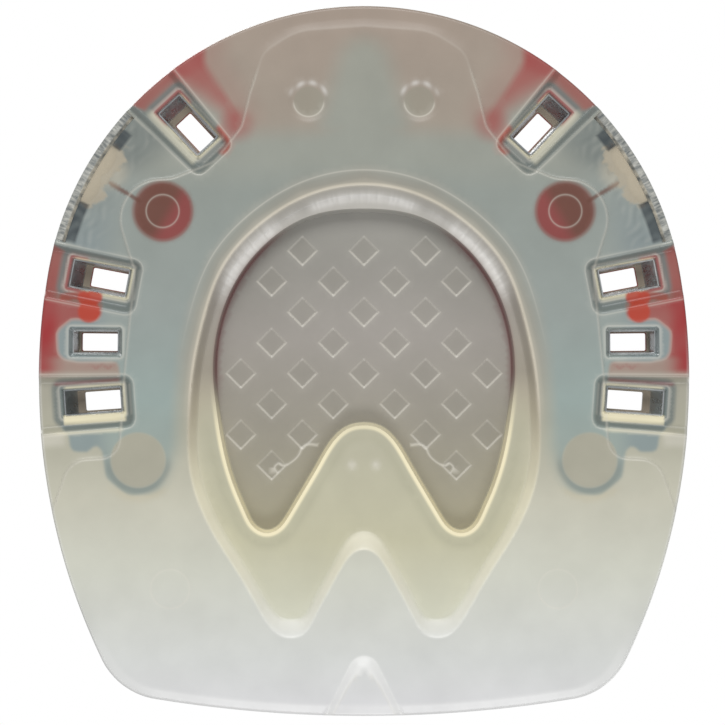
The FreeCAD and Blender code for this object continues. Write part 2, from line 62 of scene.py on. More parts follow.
# nail slots of the left branch: centre, angle, hole length and width, then the outward run and the width of
# the steel's window
Nail = namedtuple("Nail", "x y angle length width outward window")
NAILS = [
    Nail(-34.0, -46.0, 47.0, 7.2, 3.9, 3.9, 5.4),
    Nail(-51.2, -16.3, 10.8, 7.2, 3.75, 3.9, 5.2),
    Nail(-53.1, -3.8, 0.6, 7.2, 3.5, 1.6, 4.3),
    Nail(-52.5, 7.9, -4.0, 7.2, 3.75, 3.9, 4.7),
]
# channels for the nail heads: which slot, then the reach towards the toe and towards the heel, each at the
# shoe's edge and at the inner end, and the reach inward
CHANNELS = [(0, 5.5, 4.2, 7.0, 5.8, 7.4), (1, 5.4, 5.0, 6.1, 6.3, 6.3), (3, 6.0, 4.8, 6.4, 5.9, 6.4)]
CHANNEL_RUN = 13.0

RIM = [(0, -35.6), (-12.5, -32.9), (-21.5, -27.1), (-28.2, -19.5), (-32.2, -9.2), (-34.4, 1.0),
       (-35.3, 12.0), (-35.0, 21.8), (-33.1, 28.8), (-29.2, 36.5), (-25.3, 42.6), (-21.5, 49.2),
       (-19.0, 53.2), (-16.9, 55.1), (-14.6, 55.6), (-12.2, 54.9), (-9.9, 51.5), (-6.8, 45.7),
       (-3.7, 40.3), (-2.1, 38.5), (0, 37.8)]
# foot of the wall that runs down from the rim
FOOT = [(0, -33.4), (-11.7, -30.9), (-20.2, -25.4), (-26.5, -18.2), (-30.3, -8.5), (-32.4, 1.2),
        (-33.3, 12.0), (-33.0, 21.2), (-31.2, 27.9), (-27.4, 35.5), (-23.6, 41.5), (-19.9, 47.8),
        (-18.3, 50.2), (-16.8, 51.5), (-14.5, 51.9), (-12.4, 51.5), (-11.2, 49.9), (-8.5, 44.7),
        (-5.0, 38.4), (-2.8, 35.3), (0, 34.2)]
MEMBRANE = [(0, -30.5), (-11.2, -28.9), (-19.6, -23.6), (-26.0, -15.4), (-29.3, -6.5), (-30.2, 2.5),
            (-29.6, 9.0), (-27.7, 19.8), (-25.7, 26.0), (-23.8, 30.4), (-22.2, 33.2), (-19.7, 34.5),
            (-17.3, 33.7), (-15.3, 31.2), (-12.2, 26.0), (-9.1, 20.7), (-6.1, 15.9), (-3.3, 13.5),
            (0, 12.8)]
FLASH_HAIR = [(-17.5, 22.5), (-18.2, 21.5), (-17.3, 20.5), (-16.3, 21.2), (-14.8, 20.6), (-13.1, 19.1),
              (-12.5, 17.3), (-11.2, 16.7), (-9.4, 17.0)]
FROG_DOT = (-2.4, 20.9)
BORDER = [(0, -67.3, 0), (-13.5, -66.3, 12), (-20.2, -62.0, 5), (-22.9, -53.6, 8), (-24.5, -47.0, 4),
          (-30.0, -40.0, 4), (-38.5, -36.5, 8), (-51.5, -36.0, 8), (-46.0, -18.0, 6), (-48.1, 3.0, 20),
          (-49.2, 19.5, 4), (-59.0, 20.0, 5), (-64.5, 36.0, 5), (-80.0, 36.0, 0), (-80.0, -80.0, 0)]
HEEL_NOTCH = [(0, 55.0, 3.2), (-9.35, 74.0, 0), (9.35, 74.0, 0)]
CORE_INNER = [(-37.0, 17.0), (-36.9, 8.0), (-35.9, -1.0), (-33.6, -10.5), (-29.6, -20.6), (-22.6, -28.8),
              (-13.1, -34.8), (0, -37.6)]
CORE_TOE = [(0, -65.4, 2.0), (-3.6, -64.4, 1.2), (-3.9, -57.0, 4), (-5.2, -49.0, 2), (-9.0, -46.6, 3),
            (-21.0, -46.2, 4), (-26.2, -46.4, 1), (-28.0, -51.0, 3), (-33.8, -54.8, 2), (-36.9, -56.6, 1),
            (-44.0, -50.2, 0.6), (-48.0, -52.0, 0), (-64.0, -24.5, 0)]
CORE_QUARTER = [(-59.4, -21.6, 0.6), (-60.0, -14.6, 0.6), (-56.6, -14.2, 0.3), (-52.4, -13.8, 1.4),
                (-52.8, -7.8, 1.6), (-58.6, -8.4, 1.2), (-61.6, -6.0, 1.6), (-61.3, -0.6, 2.0),
                (-57.4, 0.1, 1.2), (-49.4, 0.1, 0.8), (-48.8, 4.2, 0.8), (-61.2, 4.2, 0.8),
                (-60.6, 13.4, 0.8), (-59.2, 15.0, 0.8), (-58.8, 18.2, 1.2), (-55.4, 18.2, 0.6),
                (-53.6, 16.4, 1.0), (-52.4, 18.4, 0.6), (-51.8, 23.4, 2.0), (-47.4, 27.0, 2.5),
                (-41.0, 26.6, 3.0), (-38.2, 21.0, 2.0)]
CUSHION = [(-31.5, -68.0, 0), (-31.9, -59.8, 3), (-24.3, -48.5, 4), (-27.0, -40.5, 3), (-34.5, -36.0, 3),
           (-34.0, -25.0, 5), (-43.5, -21.0, 5), (-44.0, 2.6, 2), (-75.0, 2.6, 0), (-75.0, -68.0, 0)]
QUARTER_HOLE = (-40.4, -30.1)
HEEL_QUARTER_HOLE = (-45.3, 19.9)
TOE_DIMPLE = (-11.1, -52.1)
HEEL_RING = (-38.9, 45.7)
QUARTER_RING_RADIUS, HEEL_RING_RADIUS = 3.3, 3.9
NUB_RADIUS, NUB_PITCH, NUB_INSETS, NUB_CLEARANCE = 1.1, 7.0, (4.6, 11.0), 6.6


# ---------------------------------------------------------------- plane curves

def on_circle(centre, radius, degrees):
    turn = np.radians(degrees)
    return np.stack([centre[0] + radius * np.cos(turn), centre[1] + radius * np.sin(turn)], axis=-1)


def heading(start, end):
    return math.degrees(math.atan2(end[1] - start[1], end[0] - start[0]))


def outline_arcs():
    """The right half of the outline as (centre, radius, first angle, last angle), toe to heel."""
    toe = (0.0, TOE_RADIUS - HALF_LENGTH)
    heel = (0.0, HALF_LENGTH - HEEL_RADIUS)
    side_x = HALF_WIDTH - SIDE_RADIUS
    side = (side_x, toe[1] + math.sqrt((SIDE_RADIUS - TOE_RADIUS) ** 2 - side_x ** 2))
    from_side, from_heel = SIDE_RADIUS - CORNER_RADIUS, HEEL_RADIUS - CORNER_RADIUS
    apart = math.dist(side, heel)
    along = (from_side ** 2 - from_heel ** 2 + apart ** 2) / (2 * apart)
    off = math.sqrt(from_side ** 2 - along ** 2)
    unit = ((heel[0] - side[0]) / apart, (heel[1] - side[1]) / apart)
    corner = (side[0] + along * unit[0] - off * unit[1], side[1] + along * unit[1] + off * unit[0])
    return [
        (toe, TOE_RADIUS, -90.0, heading(side, toe)),
        (side, SIDE_RADIUS, heading(side, toe), heading(side, corner)),
        (corner, CORNER_RADIUS, heading(side, corner), heading(heel, corner)),
        (heel, HEEL_RADIUS, heading(heel, corner), 90.0),
    ]


ARCS = outline_arcs()
TOE_CENTRE = ARCS[0][0]


def mirror(points):
    return np.asarray(points)[::-1] * [-1, 1]


def opposite(points):
    """Points (x, y, corner radius) of the left half carried over to the right, in the opposite order."""
    return [(-x, y, radius) for x, y, radius in reversed(points) if x]


def arc_points(centre, radius, first, last, spacing):
    count = max(2, int(radius * math.radians(abs(last - first)) / spacing) + 1)
    return on_circle(centre, radius, np.linspace(first, last, count))


def body_outline(spacing):
    """The closed edge of the moulded body, which steps in behind each side clip."""
    toe, side_arc = ARCS[0], ARCS[1:]
    inner = TOE_RADIUS - CLIP_THICKNESS - 0.05
    turns = [(TOE_RADIUS, -90.0, -90.0 + CLIP_START), (inner, -90.0 + CLIP_START, -90.0 + CLIP_END),
             (TOE_RADIUS, -90.0 + CLIP_END, toe[3])]
    runs = [arc_points(toe[0], radius, first, last, spacing) for radius, first, last in turns]
    for low, high in ((0, 1), (1, 2)):
        step = np.linspace(runs[low][-1], runs[high][0], 6)[1:-1]
        runs[low] = np.vstack([runs[low], step])
    runs += [arc_points(*arc, spacing)[1:] for arc in side_arc]
    right = np.vstack(runs)
    return np.vstack([right, mirror(right)[1:-1]])


def rounded_loop(points, spacing):
    """A closed loop of straight runs with round corners, from points given as (x, y, corner radius)."""
    count, out = len(points), []
    for index in range(count):
        before, corner, after = (np.array(points[(index + step) % count][:2], float) for step in (-1, 0, 1))
        radius = points[index][2]
        back, ahead = before - corner, after - corner
        back, ahead = back / np.linalg.norm(back), ahead / np.linalg.norm(ahead)
        half_angle = math.acos(np.clip(back @ ahead, -1, 1)) / 2
        if radius == 0 or half_angle > 1.56:
            out.append(corner[None])
            continue
        bisector = (back + ahead) / np.linalg.norm(back + ahead)
        centre = corner + bisector * radius / math.sin(half_angle)
        trim = radius / math.tan(half_angle)
        first, last = heading(centre, corner + back * trim), heading(centre, corner + ahead * trim)
        last = first + (last - first + 180) % 360 - 180
        steps = max(3, int(radius * math.radians(abs(last - first)) / spacing) + 1)
        out.append(on_circle(centre, radius, np.linspace(first, last, steps)))
    return resample(np.vstack(out), spacing)


def resample(loop, spacing):
    """The same closed loop with points evenly spread along it."""
    closed = np.vstack([loop, loop[:1]])
    travelled = np.concatenate([[0], np.cumsum(np.linalg.norm(np.diff(closed, axis=0), axis=1))])
    count = int(travelled[-1] / spacing)
    places = np.arange(count) * travelled[-1] / count
    return np.stack([np.interp(places, travelled, closed[:, axis]) for axis in (0, 1)], axis=1)


def smooth_loop(half, spacing):
    """A closed smooth curve through points given for the left half and mirrored: a periodic cubic spline."""
    points = np.vstack([half, mirror(half)[1:-1]])
    count = len(points)
    chord = np.linalg.norm(np.roll(points, -1, axis=0) - points, axis=1)
    matrix, right = np.zeros((count, count)), np.zeros((count, 2))
    for index in range(count):
        before, here = chord[index - 1], chord[index]
        matrix[index, index - 1] += before
        matrix[index, index] += 2 * (before + here)
        matrix[index, (index + 1) % count] += here
        ahead = (points[(index + 1) % count] - points[index]) / here
        right[index] = 6 * (ahead - (points[index] - points[index - 1]) / before)
    bend = np.linalg.solve(matrix, right)
    out = []
    for index in range(count):
        after, step = (index + 1) % count, chord[index]
        along = np.linspace(0, step, max(3, int(step / spacing) * 2))[:-1, None]
        left = step - along
        out.append(bend[index] * left ** 3 / (6 * step) + bend[after] * along ** 3 / (6 * step)
                   + (points[index] / step - bend[index] * step / 6) * left
                   + (points[after] / step - bend[after] * step / 6) * along)
    return resample(np.vstack(out), spacing)


def nail_frame(nail, side):
    """A slot's centre, its inward direction and its heelward direction; side is 1 for the left."""
    turn = math.radians(nail.angle)
    inward = np.array([side * math.cos(turn), math.sin(turn)])
    heelward = np.array([-side * math.sin(turn), math.cos(turn)])
    return np.array([side * nail.x, nail.y]), inward, heelward


LONG_STEPS, SHORT_STEPS, CORNER_STEPS = 22, 12, 4


def slot_loop(nail, side, out, inner, half_width, radius):
    """A rounded rectangle about a slot, always with the same number of points."""
    centre, inward, heelward = nail_frame(nail, side)
    corners = [(inner, half_width), (-out, half_width), (-out, -half_width), (inner, -half_width)]
    loop = []
    for index, (a, b) in enumerate(corners):
        middle = (a - math.copysign(radius, a), b - math.copysign(radius, b))
        loop.append(on_circle(middle, radius, np.linspace(90 * index, 90 * index + 90, CORNER_STEPS)))
        following = corners[(index + 1) % 4]
        steps = LONG_STEPS if index % 2 == 0 else SHORT_STEPS
        start = loop[-1][-1]
        end = on_circle((following[0] - math.copysign(radius, following[0]),
                         following[1] - math.copysign(radius, following[1])), radius, 90 * index + 90)
        loop.append(np.linspace(start, end, steps + 1)[1:-1])
    local = np.vstack(loop)
    points = centre + local[:, :1] * inward + local[:, 1:] * heelward
    return points if side == 1 else points[::-1]


# ---------------------------------------------------------------- signed distances, positive inside

def loop_depth(points, loop):
    """How far inside a closed loop each point lies; negative outside."""
    start = loop.astype(np.float32)
    end = np.roll(start, -1, axis=0)
    run = end - start
    length = np.maximum((run ** 2).sum(1), 1e-12)
    rise = np.where(run[:, 1] == 0, 1e-9, run[:, 1])
    depth = np.empty(len(points))
    chunk = 2000
    for first in range(0, len(points), chunk):
        part = points[first:first + chunk].astype(np.float32)
        away_x, away_y = part[:, :1] - start[:, 0], part[:, 1:] - start[:, 1]
        along = np.clip((away_x * run[:, 0] + away_y * run[:, 1]) / length, 0, 1)
        gap = np.sqrt(((away_x - along * run[:, 0]) ** 2 + (away_y - along * run[:, 1]) ** 2).min(1))
        crosses = (start[:, 1] > part[:, 1:]) != (end[:, 1] > part[:, 1:])
        inside = (crosses & (away_x < away_y / rise * run[:, 0])).sum(1) % 2 == 1
        depth[first:first + chunk] = np.where(inside, gap, -gap)
    return depth


def slot_depth(points, nail, side, out, inner, half_width, radius):
    """How far inside a rounded rectangle about a slot each point lies."""
    centre, inward, heelward = nail_frame(nail, side)
    local = np.stack([(points - centre) @ inward, (points - centre) @ heelward], axis=1)
    middle = np.array([(inner - out) / 2, 0])
    half = np.array([(inner + out) / 2, half_width]) - radius
    over = np.abs(local - middle) - half
    outside = np.linalg.norm(np.maximum(over, 0), axis=1)
    return radius - outside - np.minimum(over.max(1), 0)


def frame_depth(points, nail, side):
    """How far inside the moulded frame round a slot's window each point lies."""
    inner = nail.length / 2 + 0.9
    return slot_depth(points, nail, side, inner + nail.outward, inner, nail.window / 2 + 0.8, 0.5)


def circle_gap(points, x, y):
    """Distance from the nearer of a circle's centre and its mirror image."""
    return np.hypot(np.abs(points[:, 0]) - abs(x), points[:, 1] - y)


def ease(value):
    """0 below 0, 1 above 1, smooth between."""
    value = np.clip(value, 0, 1)
    return value * value * (3 - 2 * value)


def slope(value):
    """Like ease, with a straighter middle, as a moulded wall has."""
    return 0.55 * np.clip(value, 0, 1) + 0.45 * ease(value)


def bump(distance, width):
    """A smooth ridge 1 high at 0 distance."""
    return np.exp(-(distance / width) ** 2)


def inside(depth, soft):
    """1 inside an edge and 0 outside it, over a soft width centred on it."""
    return ease(depth / soft + 0.5)


def between(value, low, high, low_soft, high_soft):
    """1 between two values, easing to 0 at each over its own width."""
    return ease((value - low) / low_soft) * ease((high - value) / high_soft)


# ---------------------------------------------------------------- the body's two faces as height fields

FINE, COARSE = 0.45, 0.8
LOOPS = {
    "outline": body_outline(FINE),
    "rim": smooth_loop(RIM, COARSE),
    "foot": smooth_loop(FOOT, COARSE),
    "membrane": smooth_loop(MEMBRANE, COARSE),
    "border": rounded_loop(BORDER + opposite(BORDER), COARSE),
    "notch": rounded_loop(HEEL_NOTCH, COARSE),
    "cushion": rounded_loop(CUSHION, COARSE),
}


def core_loop():
    """The steel's whole edge: outer edge down the left, inner edge over the toe, outer edge up the right."""
    outer, inner = CORE_TOE + CORE_QUARTER, [(x, y, 0) for x, y in CORE_INNER]
    return rounded_loop(outer + inner + opposite(inner) + opposite(outer), COARSE)


LOOPS["core"] = core_loop()


def channel_loop(channel):
    """The left half's channel as a closed loop, a little wider or narrower at the shoe's edge."""
    which, toe_out, toe_in, heel_out, heel_in, inner = channel
    centre, inward, heelward = nail_frame(NAILS[which], 1)
    far = 9.0
    grow = far / (CHANNEL_RUN + inner)
    corners = [(inner, -toe_in, 2.0), (-CHANNEL_RUN - far, -toe_out - (toe_out - toe_in) * grow, 0),
               (-CHANNEL_RUN - far, heel_out + (heel_out - heel_in) * grow, 0), (inner, heel_in, 2.0)]
    return rounded_loop([(*(centre + along * inward + across * heelward), radius)
                         for along, across, radius in corners], COARSE)


CHANNEL_LOOPS = [channel_loop(channel) for channel in CHANNELS]


def diamond_centres():
    """The membrane's grid of diamonds: rows of three or four, kept off the frog."""
    columns = [(0, 1), (0.5, 1.5), (0, 1), (0.5, 1.5), (0, 1, 2), (0.5, 1.5), (1, 2), (1.5,)]
    centres = []
    for row, offsets in enumerate(columns):
        for offset in offsets:
            for side in ((1, -1) if offset else (1,)):
                centres.append((side * offset * DIAMOND_PITCH, DIAMOND_FIRST_ROW + row * DIAMOND_ROW))
    return np.array(centres)


DIAMONDS = diamond_centres()


def diamond_depth(points):
    """How far inside the nearest diamond each point lies, and how far heelward of its centre."""
    depth, below = np.full(len(points), -9.0), np.zeros(len(points))
    for x, y in DIAMONDS:
        inside = (DIAMOND_HALF - np.abs(points[:, 0] - x) - np.abs(points[:, 1] - y)) / math.sqrt(2)
        below = np.where(inside > depth, points[:, 1] - y, below)
        depth = np.maximum(depth, inside)
    return depth, below


def soften(path):
    """An open path with its corners cut twice."""
    path = np.array(path)
    for _ in range(2):
        start, end = path[:-1], path[1:]
        inner = np.stack([0.75 * start + 0.25 * end, 0.25 * start + 0.75 * end], axis=1).reshape(-1, 2)
        path = np.vstack([path[:1], inner[1:-1], path[-1:]])
    return path


FLASH_HAIR = soften(FLASH_HAIR)
SLIT = [(-51.0, -35.7), (-45.0, -32.1)]


def fold(points):
    """Every point brought over to the left half."""
    return np.stack([-np.abs(points[:, 0]), points[:, 1]], axis=1)


def path_gap(points, path):
    """Distance from the nearest part of an open path or its mirror image."""
    folded = fold(points)
    gap = np.full(len(points), 99.0)
    for first, last in zip(np.array(path[:-1]), np.array(path[1:])):
        run = last - first
        along = np.clip((folded - first) @ run / (run @ run), 0, 1)
        gap = np.minimum(gap, np.linalg.norm(folded - first - along[:, None] * run, axis=1))
    return gap


def slot_place(points, nail):
    """Where each point lies about a slot of its own half: inward and heelward of the slot's centre."""
    centre, inward, heelward = nail_frame(nail, 1)
    away = fold(points) - centre
    return away @ inward, away @ heelward


def nub_centres():
    """The studs on the hoof face, in two rows that follow the outline."""
    centres = []
    for inset in NUB_INSETS:
        for centre, radius, first, last in ARCS:
            steps = max(1, int((radius - inset) * math.radians(last - first) / NUB_PITCH))
            for step in range(steps):
                x, y = on_circle(centre, radius - inset, first + (step + 0.5) * (last - first) / steps)
                apart = min(math.hypot(x + nail.x, y - nail.y) for nail in NAILS)
                if apart > NUB_CLEARANCE and x > 3.0:
                    centres += [(x, y), (-x, y)]
    return np.array(centres)


NUBS = nub_centres()


def survey(points):
    """Every distance that the height fields and colours are worked out from."""
    folded = fold(points)
    found = {name: loop_depth(points, LOOPS[name]) for name in LOOPS if name != "cushion"}
    found["cushion"] = loop_depth(folded, LOOPS["cushion"])
    found["frame"] = np.max([frame_depth(points, nail, side) for nail in NAILS for side in (1, -1)], axis=0)
    found["channel"] = np.max([loop_depth(folded, loop) for loop in CHANNEL_LOOPS], axis=0)
    found["diamond"], found["below"] = diamond_depth(points)
    found["toe_dimple"] = circle_gap(points, *TOE_DIMPLE)
    found["quarter"] = circle_gap(points, *QUARTER_HOLE)
    found["heel_quarter"] = circle_gap(points, *HEEL_QUARTER_HOLE)
    found["heel_ring"] = circle_gap(points, *HEEL_RING)
    found["clip_angle"] = np.degrees(np.arctan2(np.abs(points[:, 0]), TOE_CENTRE[1] - points[:, 1]))
    found["clip_reach"] = np.hypot(points[:, 0], points[:, 1] - TOE_CENTRE[1])
    found["nub"] = np.full(len(points), 9.0)
    for x, y in NUBS:
        found["nub"] = np.minimum(found["nub"], np.hypot(points[:, 0] - x, points[:, 1] - y))
    return found


def in_clip_zone(found):
    """1 between the ends of a clip, 0 away from them."""
    near = np.minimum(found["clip_angle"] - CLIP_START, CLIP_END - found["clip_angle"])
    return inside(near, 0.8)


def edge_round(found, radius, clip_radius):
    """How far a rounded edge falls away near the outline."""
    size = radius + (clip_radius - radius) * in_clip_zone(found)
    gap = np.clip(size - found["outline"], 0, size)
    return size - np.sqrt(np.maximum(size ** 2 - gap ** 2, 0))


def notch_ramp(x):
    """How wide the sloping wall of the heel notch is, wider at its point."""
    return 1.5 + 1.2 * bump(x, 2.2)


def ground_height(points, found):
    """Height of the ground face over the ground plane, in millimetres."""
    x, y = points[:, 0], points[:, 1]
    z = BORDER_STEP * ease(found["border"] / (0.7 + 2.0 * ease((-56 - y) / 6)) + 0.3)
    heel = ease((y - 44) / 14) * (1 - inside(found["notch"], 0.6))
    z += 0.75 * heel * np.clip(1 - found["outline"] / 2.3, 0, 1)
    upper = ease((18 - y) / 26)
    z += 0.3 * upper * np.clip((found["rim"] + 2.8) / 2.8, 0, 1) * (found["rim"] > -2.8)
    wall = found["rim"] / np.maximum(found["rim"] - found["foot"], 0.4)
    z = np.maximum(z, FROG_DEPTH * slope(np.where(found["rim"] < 0, 0, np.where(found["foot"] > 0, 1, wall))))
    z += (BOWL_DEPTH - FROG_DEPTH) * slope((found["membrane"] + 0.15) / 0.7)
    z += DIAMOND_RELIEF * inside(found["diamond"], 0.3)
    z = np.maximum(z, CHANNEL_DEPTH * slope((found["channel"] + 0.1) / 1.8))
    z = np.maximum(z, STEEL_LOW * slope((found["frame"] + 0.1) / 0.8))
    z += RAMP_DEPTH * slope(found["notch"] / notch_ramp(x))
    z += 0.3 * ease((4.5 - found["toe_dimple"]) / 1.5)
    z += 0.1 * bump(found["quarter"] - QUARTER_RING_RADIUS, 0.22)
    z += 0.07 * bump(found["heel_ring"] - HEEL_RING_RADIUS, 0.22)
    z += 0.25 * inside(0.9 - circle_gap(points, *FROG_DOT), 0.5)
    z -= 0.12 * inside(0.25 - path_gap(points, FLASH_HAIR), 0.2)
    return z + edge_round(found, 0.6, 0.25)


def hoof_height(found):
    """Height of the hoof face over the ground plane, in millimetres."""
    z = THICKNESS - HOOF_RECESS * ease((found["rim"] + 0.5) / 3.0)
    z -= 0.35 * ease((found["membrane"] + 1.0) / 1.6)
    dome = np.clip(1 - (found["nub"] / NUB_RADIUS) ** 4, 0, 1)
    z += NUB_HEIGHT * np.sqrt(dome) * 0.94
    return z - edge_round(found, 0.8, 0.2)


# ---------------------------------------------------------------- the body's colours

def colour(red, green, blue):
    """A display colour, 0 to 255, as linear light."""
    value = np.array([red, green, blue]) / 255
    return np.where(value <= 0.04045, value / 12.92, ((value + 0.055) / 1.055) ** 2.4)


def laid_over(base, *layers):
    """Colours laid over a base one after another, each given as its tint and its share."""
    for tint, share in layers:
        base = base + (tint - base) * np.asarray(share)[:, None]
    return base


# the plastic's own colour from toe to heel, by y
BODY_TINTS = [(-71, (166, 151, 138)), (-50, (163, 152, 139)), (-30, (158, 156, 145)), (0, (166, 162, 149)),
              (14, (178, 176, 158)), (28, (202, 200, 183)), (42, (211, 212, 199)), (60, (217, 219, 216)),
              (71, (224, 224, 226))]
# the membrane's colour by y; the lighter stop at the toe end is painted light against the shade of the deep
# wall beside it
MEMBRANE_TINTS = [(-30, (162, 160, 154)), (-24, (153, 151, 144)), (-16, (151, 148, 141)),
                  (-5, (161, 156, 149)), (12, (158, 153, 141)), (30, (164, 159, 139))]
FROG_TINTS = [(-30, (168, 160, 146)), (0, (172, 167, 146)), (17, (192, 189, 167)), (36, (199, 196, 169)),
              (50, (210, 210, 191))]
# the recess wall's colour by y, lightened past the plastic's own colour towards the heel: partly painted
# light against the sloping wall's shade
WALL_TINTS = [(-30, (184, 181, 174)), (-12, (164, 158, 150)), (2, (162, 155, 141)), (10, (190, 182, 162)),
              (26, (242, 237, 212)), (42, (244, 241, 222)), (55, (238, 239, 234))]
STEEL_TINTS = [(-65, (156, 157, 146)), (-40, (156, 160, 151)), (-34, (148, 155, 149)), (-10, (152, 161, 157)),
               (8, (154, 170, 166)), (24, (156, 166, 158))]
BARE_STEEL_TINT = colour(112, 121, 119)
COLD_STEEL_TINT = colour(128, 142, 148)
CLIP_SKIN_TINT = colour(124, 129, 123)
RED_TINT = colour(160, 78, 75)
SOFT_RED_TINT = colour(150, 72, 72)
DEEP_RED_TINT = colour(106, 68, 56)
BRIGHT_RED_TINT = colour(186, 66, 46)
DULL_RED_TINT = colour(148, 118, 108)
THREAD_TINT = colour(112, 52, 56)
SLOT_WALL_TINT = colour(150, 138, 122)
HEEL_HOLE_TINT = colour(172, 169, 152)
HOLE_HALO_TINT = colour(200, 188, 156)
DIMPLE_TINT = colour(150, 148, 133)
DIAMOND_TINT = colour(146, 142, 132)
GLOW_TINT = colour(184, 178, 172)
PLATEAU_EDGE_TINT = colour(178, 176, 152)
# painted highlight: lit walls and edges of the slots and of the membrane
CREAM_TINT = colour(250, 240, 204)
DULL_CREAM_TINT = colour(212, 209, 188)
RIM_LINE_TINT = colour(216, 208, 190)
# painted light on the heel bevel, the rounded edge and the heel notch's walls
WHITE_TINT = colour(252, 252, 250)
PALE_TINT = colour(226, 222, 210)
# painted reflection: the bright band on the recess wall, and glints round the toe dimples
REFLECTION_TINT = colour(246, 244, 240)
WELD_TINT = colour(208, 196, 172)
DARK_TINT = colour(60, 68, 72)

# soft round spots as (x, y, radius): the weld, and bright red plastic that came out beside slot 1
WELD_SPOTS = [(-51.0, -40.9, 3.1), (-52.9, -37.4, 2.7), (-54.8, -33.8, 2.7)]
RED_SPOTS = [(-55.2, -9.9, 2.2), (-54.2, -12.9, 1.6), (-56.2, -12.7, 1.3)]
# angles of the two gaps in the steel's edge beside the weld
CLIP_GAPS = [(50.4, 54.4), (66.0, 73.8)]


def by_y(points, stops):
    """A colour that runs smoothly from stop to stop along the shoe."""
    places = [place for place, _ in stops]
    tones = np.array([colour(*tone) for _, tone in stops])
    return np.stack([np.interp(points[:, 1], places, tones[:, channel]) for channel in range(3)], axis=1)


def patchy(points, size, seed=0.0):
    """A cheap smooth random value between 0 and 1 across the shoe."""
    x, y = points[:, 0] / size, points[:, 1] / size
    first = np.sin(1.7 * x + 2.3 * np.sin(1.1 * y + seed))
    second = np.sin(2.9 * y + 1.9 * np.sin(1.6 * x + 2 * seed))
    return 0.5 + 0.25 * (first + second)


def steel_cover(points, found):
    """How much of the steel shows through, with a softer edge where the plastic over it is thicker."""
    x, y = np.abs(points[:, 0]), points[:, 1]
    outward = ease((x - 36) / 10)
    cover = inside(found["core"] - 0.6 * (1 - outward), 5.5 - 4.6 * outward)
    spike = inside(4.6 + 0.3 * (y + 62) - x, 6.5) * between(y, -67, -42, 6, 6)
    cover = np.maximum(cover, spike)
    cover *= 1 - inside(5.8 - found["quarter"], 1.3)
    return cover * (1 - 0.9 * inside(5.5 - found["heel_quarter"], 0.8))


def weld_cover(points):
    """The cloudy weld bead that ties the clip to the steel."""
    wobble = 1.0 * (patchy(points, 1.6, 0.7) - 0.5) + 0.7 * (patchy(points, 0.6, 1.9) - 0.5)
    return np.max([inside(radius + wobble - circle_gap(points, x, y), 1.0) for x, y, radius in WELD_SPOTS],
                  axis=0)


def gap_cover(found):
    """Where the gaps in the steel's edge beside the weld lie, for painting their shade."""
    angle, reach = found["clip_angle"], found["clip_reach"]
    depth = np.minimum(reach - 60.4, 62.5 - reach)
    return np.max([inside(np.minimum(np.minimum(angle - first, last - angle) * 1.1, depth), 0.4)
                   for first, last in CLIP_GAPS], axis=0)


